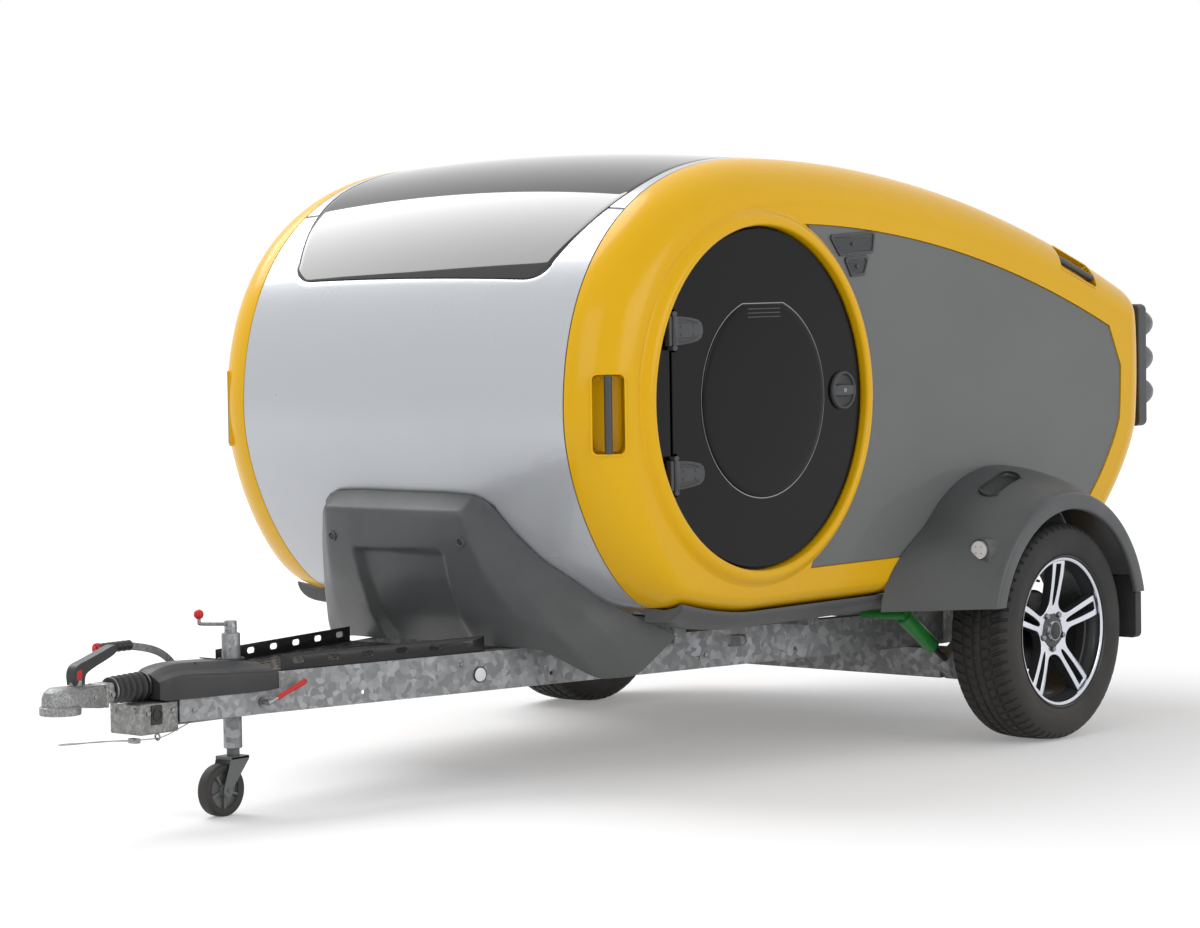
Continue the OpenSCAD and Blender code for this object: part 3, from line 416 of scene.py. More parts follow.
def cut(piece, cutter, sharp=32):
    """Cuts the cutter out of a piece."""
    modifier = piece.modifiers.new("cut", "BOOLEAN")
    modifier.operation = "DIFFERENCE"
    modifier.solver = "MANIFOLD"
    modifier.object = cutter
    settled(piece)
    bpy.data.objects.remove(cutter)
    if not any(piece.data.materials):
        piece.data.materials.clear()
    return smooth(piece, sharp)


def mirrored(piece, name):
    """Copy of a piece on the other side of the vehicle."""
    twin = piece.copy()
    twin.data = piece.data.copy()
    twin.name = name
    twin.data.name = name
    bpy.context.collection.objects.link(twin)
    return flipped(twin)


def joined(name, parts):
    """One piece made of several, each with its own materials."""
    for part in parts:
        settled(part)
    with bpy.context.temp_override(active_object=parts[0], object=parts[0], selected_objects=parts,
            selected_editable_objects=parts):
        bpy.ops.object.join()
    parts[0].name = name
    parts[0].data.name = name
    return parts[0]


def moved(piece, turn=None, shift=(0, 0, 0)):
    """Turns a piece's mesh about the origin, then shifts it."""
    matrix = Matrix.Translation(shift) @ (turn or Matrix.Identity(4))
    piece.data.transform(matrix)
    piece.data.update()
    return piece


def dress(piece, material, body=ROOT, stands_for=()):
    """Gives a piece its finish, the body it rides on and the CAD nodes it stands for."""
    if material is not None:
        piece.data.materials.clear()
        coated(piece, material)
    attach(piece, body)
    if stands_for:
        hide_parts(*stands_for)
    return piece


def shown(node, parts, material=None, body=ROOT):
    """Joins parts into the piece that stands for a CAD node."""
    return dress(joined(node + "_visual", parts), material, body, [node])


def both_sides(piece, name, material, bodies=(ROOT, ROOT), stands_for=None, whole_node=None):
    """Dresses a left piece and its mirrored right twin; name and the CAD nodes end in _left and _right."""
    twin = mirrored(piece, name + "_right")
    piece.name = name + "_left"
    for side, one, body in (("left", piece, bodies[0]), ("right", twin, bodies[1])):
        nodes = [n + "_" + side for n in stands_for] if stands_for else ()
        dress(one, material, body, nodes)
    if whole_node:
        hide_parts(whole_node)
    return piece, twin


# ---------------------------------------------------------------- finishes
def rgb(r, g, b):
    """Linear colour of the usual 0 to 255 values."""
    return tuple((c / 255 / 12.92 if c <= 10 else ((c / 255 + 0.055) / 1.055) ** 2.4)
            for c in (r, g, b)) + (1,)


def add(tree, kind, inputs=None, **settings):
    """Adds a node; an input's value is a number, a colour or the output that feeds it."""
    node = tree.nodes.new(kind)
    for key, value in settings.items():
        setattr(node, key, value)
    for key, value in (inputs or {}).items():
        if isinstance(value, bpy.types.NodeSocket):
            tree.links.new(value, node.inputs[key])
        else:
            node.inputs[key].default_value = value
    return node


def effect(name, inputs, outputs):
    """Shader node group with named inputs and outputs, and the place on the object."""
    tree = bpy.data.node_groups.new(name, "ShaderNodeTree")
    for label, kind, value in inputs:
        socket = tree.interface.new_socket(label, in_out="INPUT", socket_type=kind)
        socket.default_value = value
    for label, kind in outputs:
        tree.interface.new_socket(label, in_out="OUTPUT", socket_type=kind)
    given, out = add(tree, "NodeGroupInput"), add(tree, "NodeGroupOutput")
    return tree, given, out, add(tree, "ShaderNodeTexCoord").outputs["Object"]


def noise(tree, place_on, scale, detail, roughness=0.5):
    """Noise node; its Fac and Color are the outputs used."""
    return add(tree, "ShaderNodeTexNoise", {"Vector": place_on, "Scale": scale, "Detail": detail,
            "Roughness": roughness})


def calc(tree, operation, *values, **settings):
    """Result of a maths node."""
    return add(tree, "ShaderNodeMath", dict(enumerate(values)), operation=operation, **settings).outputs[0]


FLOAT = "NodeSocketFloat"


def make_paint_skin():
    """Faint ripple of a sprayed coat, and where it is a little duller."""
    tree, given, out, place_on = effect("paint_skin", [("Scale", FLOAT, 300.0)],
            [("Height", FLOAT), ("Dull", FLOAT)])
    ripple = noise(tree, place_on, given.outputs["Scale"], 2.0)
    broad = noise(tree, place_on, 2.3, 3.0)
    tree.links.new(ripple.outputs["Fac"], out.inputs["Height"])
    tree.links.new(broad.outputs["Fac"], out.inputs["Dull"])
    return tree


def make_moulded_grain():
    """Pebbled grain of moulded plastic and powder coat."""
    tree, given, out, place_on = effect("moulded_grain", [("Scale", FLOAT, 600.0)],
            [("Height", FLOAT), ("Shade", FLOAT)])
    pebbles = add(tree, "ShaderNodeTexVoronoi", {"Vector": place_on, "Scale": given.outputs["Scale"]},
            feature="SMOOTH_F1")
    cloud = noise(tree, place_on, 5.0, 5.0, 0.6)
    tree.links.new(pebbles.outputs["Distance"], out.inputs["Height"])
    tree.links.new(cloud.outputs["Fac"], out.inputs["Shade"])
    return tree


def make_zinc_flowers():
    """Crystal patches of a hot-dip zinc coat, with faint runs."""
    tree, given, out, place_on = effect("zinc_flowers", [("Scale", FLOAT, 70.0)],
            [("Patch", FLOAT), ("Height", FLOAT)])
    wander = noise(tree, place_on, 30.0, 3.0)
    bent = add(tree, "ShaderNodeVectorMath", {0: wander.outputs["Color"], 1: (0.02, 0.02, 0.02),
            2: place_on}, operation="MULTIPLY_ADD")
    patches = add(tree, "ShaderNodeTexVoronoi", {"Vector": bent.outputs[0], "Scale": given.outputs["Scale"]})
    shade = add(tree, "ShaderNodeSeparateColor", {"Color": patches.outputs["Color"]})
    cloud = noise(tree, place_on, 14.0, 6.0, 0.7)
    patch = calc(tree, "MULTIPLY", shade.outputs["Red"], cloud.outputs["Fac"])
    tree.links.new(patch, out.inputs["Patch"])
    tree.links.new(patches.outputs["Distance"], out.inputs["Height"])
    return tree


def make_road_film():
    """Thin dust that gathers low down on the vehicle: a mask from 0 to the amount."""
    tree, given, out, place_on = effect("road_film", [("Amount", FLOAT, 0.1), ("Top", FLOAT, 0.5)],
            [("Mask", FLOAT)])
    height = add(tree, "ShaderNodeSeparateXYZ", {"Vector": place_on})
    low = add(tree, "ShaderNodeMapRange", {"Value": height.outputs["Z"], "From Min": given.outputs["Top"],
            "From Max": 0.05, "To Min": 0.0, "To Max": given.outputs["Amount"]})
    patchy = noise(tree, place_on, 11.0, 6.0)
    tree.links.new(calc(tree, "MULTIPLY", low.outputs[0], patchy.outputs["Fac"]), out.inputs["Mask"])
    return tree


def make_turned_lines():
    """Fine rings left by a lathe round the wheel axle."""
    tree, given, out, place_on = effect("turned_lines", [("Scale", FLOAT, 900.0)], [("Height", FLOAT)])
    off = add(tree, "ShaderNodeVectorMath", {0: place_on, 1: (AXLE_X, 0, AXLE_Z)}, operation="SUBTRACT")
    flat = add(tree, "ShaderNodeVectorMath", {0: off.outputs[0], 1: (1, 0, 1)}, operation="MULTIPLY")
    radius = add(tree, "ShaderNodeVectorMath", {0: flat.outputs[0]}, operation="LENGTH")
    turns = calc(tree, "MULTIPLY", radius.outputs["Value"], given.outputs["Scale"])
    tree.links.new(calc(tree, "SINE", turns), out.inputs["Height"])
    return tree


PAINT_SKIN = make_paint_skin()
MOULDED_GRAIN = make_moulded_grain()
ZINC_FLOWERS = make_zinc_flowers()
ROAD_FILM = make_road_film()
TURNED_LINES = make_turned_lines()
DUST = rgb(120, 112, 100)


def uses(tree, effect_tree, **values):
    node = add(tree, "ShaderNodeGroup", node_tree=effect_tree)
    for key, value in values.items():
        node.inputs[key.capitalize()].default_value = value
    return node


def finish_of(name, **shader_values):
    """New material with a Principled shader whose fixed values are given by socket name."""
    material = bpy.data.materials.new(name)
    material.use_nodes = True
    tree = material.node_tree
    shader = tree.nodes["Principled BSDF"]
    for key, value in shader_values.items():
        shader.inputs[key.replace("_", " ")].default_value = value
    return material, tree, shader


def ranged(tree, value, low, high):
    return add(tree, "ShaderNodeMapRange", {"Value": value, "From Min": 0.3, "From Max": 0.7, "To Min": low,
            "To Max": high}).outputs[0]


def mixed(tree, factor, a, b):
    node = add(tree, "ShaderNodeMix", {0: factor}, data_type="RGBA")
    for key, value in (("A", a), ("B", b)):
        sockets = [s for s in node.inputs if s.name == key and s.type == "RGBA"]
        if isinstance(value, bpy.types.NodeSocket):
            tree.links.new(value, sockets[0])
        else:
            sockets[0].default_value = value
    return [s for s in node.outputs if s.type == "RGBA"][0]


def wire(tree, shader, colour, roughness, normal):
    """Feeds the shader's colour, roughness and normal."""
    for value, key in ((colour, "Base Color"), (roughness, "Roughness"), (normal, "Normal")):
        tree.links.new(value, shader.inputs[key])


def bump(tree, height, strength, distance=0.001):
    return add(tree, "ShaderNodeBump", {"Height": height, "Strength": strength,
            "Distance": distance}).outputs[0]


def rippled(name, colour, shade, rough, film, ripple, scale, top, **shader_values):
    """Surface with the ripple of a sprayed or polished skin under some road dust."""
    material, tree, shader = finish_of(name, **shader_values)
    skin = uses(tree, PAINT_SKIN, scale=scale)
    dust = uses(tree, ROAD_FILM, amount=film, top=top)
    tone = mixed(tree, skin.outputs["Dull"], colour, shade)
    wire(tree, shader, mixed(tree, dust.outputs["Mask"], tone, DUST),
            ranged(tree, skin.outputs["Dull"], *rough), bump(tree, skin.outputs["Height"], ripple))
    return material


def paint(name, colour, shade, roughness, coat=0.6, metallic=0.0, film=0.06, ripple=0.012, specular=0.25):
    """Sprayed paint: colour and its slightly darker shade, under a clear coat."""
    return rippled(name, colour, shade, (roughness * 0.85, roughness * 1.15), film, ripple, 260.0, 0.7,
            Coat_Roughness=0.04, Coat_Weight=coat, Metallic=metallic, Specular_IOR_Level=specular)


def plastic(name, colour, shade, roughness, grain=600.0, depth=0.25, film=0.15, specular=0.4):
    """Moulded plastic, rubber or powder coat with a pebbled grain."""
    material, tree, shader = finish_of(name, Specular_IOR_Level=specular)
    pebbles = uses(tree, MOULDED_GRAIN, scale=grain)
    dust = uses(tree, ROAD_FILM, amount=film, top=0.6)
    tone = mixed(tree, ranged(tree, pebbles.outputs["Shade"], 0.0, 1.0), colour, shade)
    wire(tree, shader, mixed(tree, dust.outputs["Mask"], tone, DUST),
            ranged(tree, pebbles.outputs["Shade"], roughness - 0.06, roughness + 0.06),
            bump(tree, pebbles.outputs["Height"], depth))
    return material


def zinc(name, dark, light, roughness, patch=70.0, depth=0.08):
    """Galvanised steel with visible crystal patches."""
    material, tree, shader = finish_of(name, Metallic=0.75)
    coat = uses(tree, ZINC_FLOWERS, scale=patch)
    dust = uses(tree, ROAD_FILM, amount=0.25, top=0.45)
    level = add(tree, "ShaderNodeMapRange", {"Value": coat.outputs["Patch"], "From Min": 0.1,
            "From Max": 0.55})
    tone = mixed(tree, level.outputs[0], dark, light)
    wire(tree, shader, mixed(tree, dust.outputs["Mask"], tone, DUST),
            ranged(tree, coat.outputs["Patch"], roughness + 0.1, roughness - 0.08),
            bump(tree, coat.outputs["Height"], depth))
    return material


def metal(name, colour, shade, roughness, film=0.08, ripple=0.05):
    """Bright or brushed metal with a slightly uneven polish."""
    return rippled(name, colour, shade, (roughness * 0.8, roughness * 1.2), film, ripple, 500.0, 0.6,
            Metallic=1.0)


def turned_alloy(name, colour, shade):
    """Lathe-turned face of a cast wheel."""
    material, tree, shader = finish_of(name, Metallic=1.0, Coat_Weight=0.4, Coat_Roughness=0.05)
    rings = uses(tree, TURNED_LINES, scale=2600.0)
    skin = uses(tree, PAINT_SKIN, scale=400.0)
    wire(tree, shader, mixed(tree, skin.outputs["Dull"], colour, shade),
            ranged(tree, skin.outputs["Dull"], 0.16, 0.28), bump(tree, rings.outputs["Height"], 0.06))
    return material


def clear_pane(name, tint, roughness, coat=0.0, specular=0.6):
    """Dark tinted acrylic that reads as opaque from outside."""
    material, tree, shader = finish_of(name, Specular_IOR_Level=specular, Coat_Weight=coat,
            Coat_Roughness=0.02)
    skin = uses(tree, PAINT_SKIN, scale=40.0)
    wire(tree, shader, mixed(tree, skin.outputs["Dull"], tint, (0.0, 0.0, 0.0, 1)),
            ranged(tree, skin.outputs["Dull"], roughness, roughness * 1.6),
            bump(tree, skin.outputs["Height"], 0.006))
    return material


YELLOW = paint("gloss_yellow", rgb(232, 180, 0), rgb(226, 173, 0), 0.28, 0.12, specular=0.2)
SILVER = paint("silver_lacquer", rgb(188, 191, 195), rgb(182, 185, 190), 0.3, 0.5, 0.35)
GREY = paint("grey_side_paint", rgb(109, 111, 111), rgb(103, 105, 105), 0.42, 0.15, 0.0)
BLACK_GLOSS = paint("black_lacquer", rgb(9, 9, 10), rgb(6, 6, 7), 0.2, 0.04, film=0.02, specular=0.14)
DARK = plastic("dark_grey_plastic", rgb(78, 80, 81), rgb(70, 72, 73), 0.4, specular=0.5)
DARK_FINE = plastic("fine_grey_plastic", rgb(70, 71, 73), rgb(62, 63, 65), 0.42, 900.0, 0.15)
BLACK_PLASTIC = plastic("black_plastic", rgb(44, 45, 47), rgb(36, 37, 39), 0.42, 800.0, 0.2)
POWDER_BLACK = plastic("black_powder_coat", rgb(26, 26, 28), rgb(20, 20, 22), 0.4, 1400.0, 0.12)
RUBBER = plastic("tyre_rubber", rgb(46, 46, 47), rgb(38, 38, 39), 0.62, 900.0, 0.3, 0.25, 0.3)
SOFT_RUBBER = plastic("soft_rubber", rgb(58, 58, 59), rgb(48, 48, 49), 0.55, 700.0, 0.2, 0.2, 0.3)
RED = plastic("red_grip", rgb(206, 28, 30), rgb(186, 20, 24), 0.35, 700.0, 0.1, 0.1)
GREEN = paint("green_damper_paint", rgb(44, 140, 62), rgb(36, 124, 52), 0.35, 0.3)
GALVANISED = zinc("galvanised_steel", rgb(128, 130, 132), rgb(164, 166, 168), 0.45, 60.0)
ZINC = zinc("bright_zinc", rgb(126, 126, 125), rgb(160, 160, 158), 0.36, 140.0, 0.04)
CAST = zinc("cast_coupling", rgb(124, 125, 125), rgb(158, 159, 158), 0.42, 260.0, 0.12)
STEEL = metal("brushed_steel", rgb(150, 150, 152), rgb(132, 132, 135), 0.3)
ALLOY = turned_alloy("turned_alloy", rgb(214, 216, 224), rgb(202, 204, 212))
ALLOY_DARK = paint("anthracite_wheel_paint", rgb(58, 60, 62), rgb(50, 52, 54), 0.32, 0.3)
SKY_GLASS = clear_pane("sky_glass", rgb(10, 10, 11), 0.03, 0.6, 0.4)
DOOR_GLASS = clear_pane("door_glass", rgb(6, 6, 7), 0.1, 0.0, 0.16)
LENS = clear_pane("lamp_lens", rgb(88, 89, 92), 0.14)
WHITE_LENS = plastic("white_lens", rgb(232, 233, 234), rgb(222, 223, 224), 0.2, 300.0, 0.3, 0.05, 0.6)
LINER = plastic("cabin_liner", rgb(196, 192, 182), rgb(186, 182, 172), 0.7, 350.0, 0.3, 0.0)
PLY = plastic("plywood_bulkhead", rgb(176, 148, 108), rgb(150, 122, 84), 0.5, 120.0, 0.1, 0.0)
GAP = plastic("dark_joint", rgb(30, 30, 31), rgb(24, 24, 25), 0.6, 500.0, 0.1, 0.0)


# ---------------------------------------------------------------- camera and breakaway cable
def make_camera():
    """Camera low off the nose of the trailer, on its left."""
    yaw, pitch, roll = (radians(a) for a in (220.15, -3.09, -0.88))
    forward = Vector((cos(pitch) * cos(yaw), cos(pitch) * sin(yaw), sin(pitch)))
    right = Vector((sin(yaw), -cos(yaw), 0))
    up = right.cross(forward)
    c, s = cos(roll), sin(roll)
    across, above = c * right + s * up, c * up - s * right
    data = bpy.data.cameras.new("view")
    data.lens = 111.52
    data.sensor_width = 36.0
    data.clip_start, data.clip_end = 0.1, 200.0
    camera = linked("view", data)
    camera.matrix_world = Matrix.Translation((8.064, 6.876, 1.404)) @ Matrix((across, above,
            -forward)).transposed().to_4x4()
    bpy.context.scene.camera = camera


CABLE_ROUTE = mm((1590, 60, 265.2), (1612, 62, 262), (1640, 63, 254), (1675, 62, 243), (1700, 58, 236),
        (1712, 55.5, 234.2), (1735, 50, 234), (1765, 40, 234), (1800, 30, 236), (1840, 20, 238),
        (1880, 0, 238), (1915, -20, 236), (1935, -45, 234), (1930, -68, 232), (1900, -78, 230),
        (1860, -74, 228), (1820, -50, 228), (1790, -20, 230), (1772, 22, 231))
CABLE_DIAMETER = 0.003


def make_breakaway_cable():
    """Plastic-coated wire from under the left rail through its guide ring to its spring clip."""
    line = catmull(CABLE_ROUTE, 5)
    cable = sweep("breakaway_cable_visual", line, CABLE_DIAMETER / 2, 8)
    dress(cable, STEEL, stands_for=["breakaway_cable"])


make_camera()
make_breakaway_cable()


# ---------------------------------------------------------------- cabin shells
WALL = 0.03
PANEL_BORDER = 0.058
JOINT = 0.0015
PANEL_SUNK = 0.0035
DEGREES = 57.3  # in one radian
SHELL_STATIONS = (spread(0, 0.98, 40) + spread(1, 1.99, 66) + spread(2, 2.99, 66) + spread(3, 3.94, 16)
        + spread(4, 4.94, 16) + spread(5, 5.97, 26) + spread(6, 6.9, 9) + spread(7, 7.96, 16))
HOLDS = [(1, 52), (2.83, 58)]
HOLD_LENGTH, HOLD_WIDTH, HOLD_DEPTH = 0.205, 0.084, 0.044


def hold_matrix(hold):
    """Frame of a hand-hold: X out of the skin, Z along the edge."""
    t, angle = hold
    turn = atan2(EDGE_DEPTH * sind(angle), EDGE_WIDTH * cosd(angle))
    return (Matrix.Translation(edge_point(t, angle)) @ Matrix.Rotation(radians(90 - heading(t)), 4, "Y")
            @ Matrix.Rotation(turn, 4, "Z"))


def pocket(name, grow, depth, lip):
    """Rounded block that fills a hand-hold pocket, open towards the skin."""
    w, l = HOLD_WIDTH / 2 + grow, HOLD_LENGTH / 2 + grow
    outline_2d = rounded_outline([(-w, -l), (w, -l), (w, l), (-w, l)], 0.014 + grow, 6)
    rings = []
    for x, draw in ((-depth, -0.012), (-depth + 0.004, -0.005), (-depth + 0.014, 0.0), (lip, 0.002)):
        kx, kz = (w + draw) / w, (l + draw) / l
        rings.append([Vector((x, u * kx, v * kz)) for u, v in outline_2d])
    return loft(name, rings)


def make_edge_shell():
    """Yellow rounded edge all round the side, with its two hand-hold pockets."""
    roll = JOINT / EDGE_WIDTH * DEGREES
    angles = [roll * 0.3, roll * 1.1, roll * 2.2] + spread(roll * 2.2, 90, 26)[1:]
    depths = [0.004, 0.001, 0.0] + [0.0] * 26
    outer = [[edge_point(t, a, d) for a, d in zip(angles, depths)] for t in SHELL_STATIONS]
    inner = [[edge_point(t, a, WALL) for a in angles] for t in SHELL_STATIONS]
    flat = []
    for t, row in zip(SHELL_STATIONS, outer):
        p = outline(t, 1, 0.004)
        row.append(Vector((p[0], HALF_WIDTH, p[1])))
        p = outline(t, 1, WALL * 0.1)
        flat.append(Vector((p[0], HALF_WIDTH - WALL, p[1])))
    for row, p in zip(inner, flat):
        row.append(p)
    shell = smooth(sheet("edge_shell", outer, inner, wrap=True), 30)
    for hold in HOLDS:
        cutter = pocket("pocket_cutter", 0, HOLD_DEPTH, 0.05)
        cutter.data.transform(hold_matrix(hold))
        cut(shell, cutter, 30)
    return shell


def make_hold_cup(hold):
    """Cup behind a hand-hold pocket."""
    outer = pocket("hold_cup", 0.004, HOLD_DEPTH + 0.004, -0.006)
    cutter = pocket("cup_cutter", 0, HOLD_DEPTH, 0.05)
    cut(outer, cutter, 40)
    outer.data.transform(hold_matrix(hold))
    return outer


def side_area(inset):
    return [tuple(outline(t, 1, inset)) for t in SHELL_STATIONS]


def plain_tail_area(inset):
    """Inset outline with a plain corner at the top of the tail, without its front part."""
    return [tuple(outline(t, 1, inset)) for t in SHELL_STATIONS if t < 2.95 or t > 4.4]


def panel_area(grow):
    """Outline of the grey panel behind the door ring."""
    radius = RING_R + 0.002 - grow
    inset = PANEL_BORDER - grow
    line = [p for p in plain_tail_area(inset) if p[0] < DOOR_X - 0.06
            and hypot(p[0] - DOOR_X, p[1] - DOOR_Z) > radius]
    upper = [p for p in line if p[1] > DOOR_Z]
    lower = [p for p in line if p[1] <= DOOR_Z]
    start = math.degrees(atan2(upper[0][1] - DOOR_Z, upper[0][0] - DOOR_X))
    end = math.degrees(atan2(lower[-1][1] - DOOR_Z, lower[-1][0] - DOOR_X)) % 360
    ring = arc((DOOR_X, DOOR_Z), radius, end, start, 60)
    return upper + lower + ring[1:-1]


def make_side_plate():
    """Flat yellow side around the ring and the grey panel."""
    door = arc((DOOR_X, DOOR_Z), DOOR_OPEN_R + 0.01, 0, 360, 160)[:-1]
    plate = prism("side_plate", side_area(0.0035), HALF_WIDTH - WALL, HALF_WIDTH, holes=[door])
    cutter = prism("panel_cutter", panel_area(0.0015), HALF_WIDTH - 0.009, HALF_WIDTH + 0.02)
    return cut(plate, cutter, 25)


def make_door_ring():
    """Raised yellow ring around the door, blended softly into the side."""
    centre = (DOOR_X, 0, DOOR_Z)
    top = HALF_WIDTH + RING_PROUD
    profile = [(DOOR_OPEN_R, HALF_WIDTH - WALL), (DOOR_OPEN_R, top - 0.012),
            (DOOR_OPEN_R + 0.001, top - 0.006), (DOOR_OPEN_R + 0.004, top - 0.002),
            (DOOR_OPEN_R + 0.009, top), (DOOR_OPEN_R + 0.016, top), (DOOR_OPEN_R + 0.022, top - 0.0015),
            (DOOR_OPEN_R + 0.028, top - 0.005), (DOOR_OPEN_R + 0.034, top - 0.011),
            (DOOR_OPEN_R + 0.038, top - 0.017), (RING_R - 0.003, HALF_WIDTH + 0.003),
            (RING_R + 0.002, HALF_WIDTH + 0.0002), (RING_R + 0.002, HALF_WIDTH - WALL)]
    return smooth(revolve("door_ring", profile, centre, steps=224), 32)


def make_side_panel():
    """Grey side panel, its edge rounded, a little below the yellow."""
    return prism("side_panel", panel_area(0.0), HALF_WIDTH - 0.012, HALF_WIDTH - PANEL_SUNK, rounding=0.0018)


# centre, half width on top, how far the bottom corners stand in to the rear and to the front, height
VENTS = [((-0.321, 1.447), 0.109, 0.014, 0.048, 0.062), ((-0.34, 1.385), 0.059, 0.024, 0.031, 0.056)]


def make_vent(centre, half_top, rear_in, front_in, height):
    """Ventilation cover: a slanted frame with a slatted field and its screw."""
    x, z = centre
    slope = radians(-3)

    def frame(grow):
        corners = [(-half_top - grow, height / 2 + grow), (-half_top + rear_in - grow * 0.6,
                -height / 2 - grow), (half_top - front_in + grow * 0.6, -height / 2 - grow),
                (half_top + grow, height / 2 + grow)]
        turned = [(x + u * cos(slope) - v * sin(slope), z + u * sin(slope) + v * cos(slope))
                for u, v in corners]
        return rounded_outline(turned, 0.008, 4)

    skin = HALF_WIDTH - PANEL_SUNK
    rim = prism("vent_rim", frame(0.0), skin - 0.002, skin + 0.006, holes=[frame(-0.008)], rounding=0.0015)
    field = prism("vent_field", frame(-0.007), skin - 0.002, skin + 0.002)
    parts = [rim, field]
    slats = 7
    for i in range(1, slats):
        level = -height / 2 + 0.008 + (height - 0.016) * i / slats
        low = 0.5 - level / height
        parts.append(block("vent_slat", (x - half_top + rear_in * low + 0.012, skin, z + level - 0.0012),
                (x + half_top - front_in * low - 0.012, skin + 0.004, z + level + 0.0012), 0.0006, 1))
    parts.append(revolve("vent_screw", mm((0, 0), (6, 0), (6, 6), (4.5, 7.5), (0, 7.5)), (x, skin, z),
            steps=24))
    return joined("vent", parts)


LINED_FROM_X, LINED_TO_X = -1.44, 0.55


def line_inside(piece):
    """Gives the inner faces of a cabin side the pale lining."""
    coated(piece, LINER)
    for face in piece.data.polygons:
        middle = face.center
        inward = face.normal.y * (1 if middle.y > 0 else -1)
        if inward < -0.6 and abs(middle.y) < HALF_WIDTH - 0.012 and LINED_FROM_X < middle.x < LINED_TO_X:
            face.material_index = 1


def make_cabin_sides():
    shell = joined("shell_outer", [make_edge_shell(), make_side_plate(), make_door_ring(),
            make_hold_cup(HOLDS[0]), make_hold_cup(HOLDS[1])])
    for piece in both_sides(shell, "body_edge", YELLOW, stands_for=["side_shell"]):
        line_inside(piece)
    both_sides(make_side_panel(), "side_panel", GREY, whole_node="side_panels")
    vents = joined("vents", [make_vent(*vent) for vent in VENTS])
    both_sides(vents, "side_vents", DARK_FINE)


def make_grab_bars():
    """Dark round bars across the hand-holds."""
    bars = []
    for side in (1, -1):
        for hold in HOLDS:
            rings = []
            for z in spread(-HOLD_LENGTH / 2, HOLD_LENGTH / 2, 2):
                rings.append([Vector((-0.012 + 0.0108 * cos(a), 0.0108 * sin(a), z))
                        for a in (2 * pi * k / 24 for k in range(24))])
            bar = loft("grab_bar", rings, 50)
            bar.data.transform(hold_matrix(hold))
            bars.append(flipped(bar) if side < 0 else bar)
    shown("grab_bars", bars, DARK_FINE)


make_cabin_sides()
make_grab_bars()


# ---------------------------------------------------------------- nose, roof and tail skins
SKIN = 0.02
SKY_CORNER_Y = 0.08
SKY_CORNER_T = 0.055


def sky_side(t):
    start = SKY_START + SKY_CORNER_T
    return SKY_LOW_Y + (SKY_HIGH_Y - SKY_LOW_Y) * sin(pi / 2 * min(1, (t - start) / (SKY_FULL - start)))


def sky_half_width(t):
    """Half width of the skylight at station t."""
    if t < SKY_START + SKY_CORNER_T:
        s = 1 - (t - SKY_START) / SKY_CORNER_T
        return SKY_LOW_Y - SKY_CORNER_Y * (1 - sqrt(max(0.0, 1 - s * s)))
    return sky_side(t)


def rolled(us):
    """Parameters from 0 to 1 with extra ones close to both ends, where a panel's edge rolls over."""
    return [0.0, 0.0015, 0.004] + [u for u in us if 0.006 < u < 0.994] + [0.996, 0.9985, 1.0]


def rolled_depth(i, n):
    return {0: 0.0035, 1: 0.0009, 2: 0.0001}.get(min(i, n - 1 - i), 0.0)


def skin_panel(name, stations, low_y, high_y, columns, thick=SKIN, lift=0.0):
    """Panel of the bulged skin between two half widths, each a function of the station."""
    us = rolled(spread(0, 1, columns))
    n, m = len(stations), len(us)
    outer, inner = [], []
    for i, t in enumerate(stations):
        ys = [blend(low_y(t), high_y(t), u) for u in us]
        outer.append([roof_point(t, y, max(rolled_depth(i, n), rolled_depth(j, m)) - lift)
                for j, y in enumerate(ys)])
        inner.append([roof_point(t, y, thick) for y in ys])
    return smooth(sheet(name, outer, inner), 40)


def stations_between(a, b, n):
    """Stations of a panel with three close ones at each end."""
    step = (b - a) / n
    return [a, a + step * 0.02, a + step * 0.06] + spread(a, b, n)[1:-1] + [b - step * 0.06,
            b - step * 0.02, b]


def make_front_panel():
    """Silver nose, cut to the skylight's lower border and its cheeks."""
    border = [(y, SKY_START) for y in spread(0, SKY_LOW_Y - SKY_CORNER_Y, 12)]
    for a in spread(0, 90, 10)[1:]:
        border.append((SKY_LOW_Y - SKY_CORNER_Y * (1 - sind(a)), SKY_START + SKY_CORNER_T * (1 - cosd(a))))
    for t in spread(SKY_START + SKY_CORNER_T, SKY_BREAK, 14)[1:]:
        border.append((sky_side(t), t))
    for u in spread(0, 1, 3)[1:]:
        border.append((blend(sky_side(SKY_BREAK), SEAM_Y - JOINT, u), SKY_BREAK))
    border = [(-y, t) for y, t in border[:0:-1]] + border
    rows = [0.0, 0.002, 0.005] + spread(0, 1, 64)[1:-1] + [0.994, 0.998, 1.0]
    n = len(rows)
    outer, inner = [], []
    for i, s in enumerate(rows):
        outer.append([roof_point(t * s, y, rolled_depth(i, n)) for y, t in border])
        inner.append([roof_point(t * s, y, SKIN) for y, t in border])
    return smooth(sheet("front_panel", outer, inner), 40)


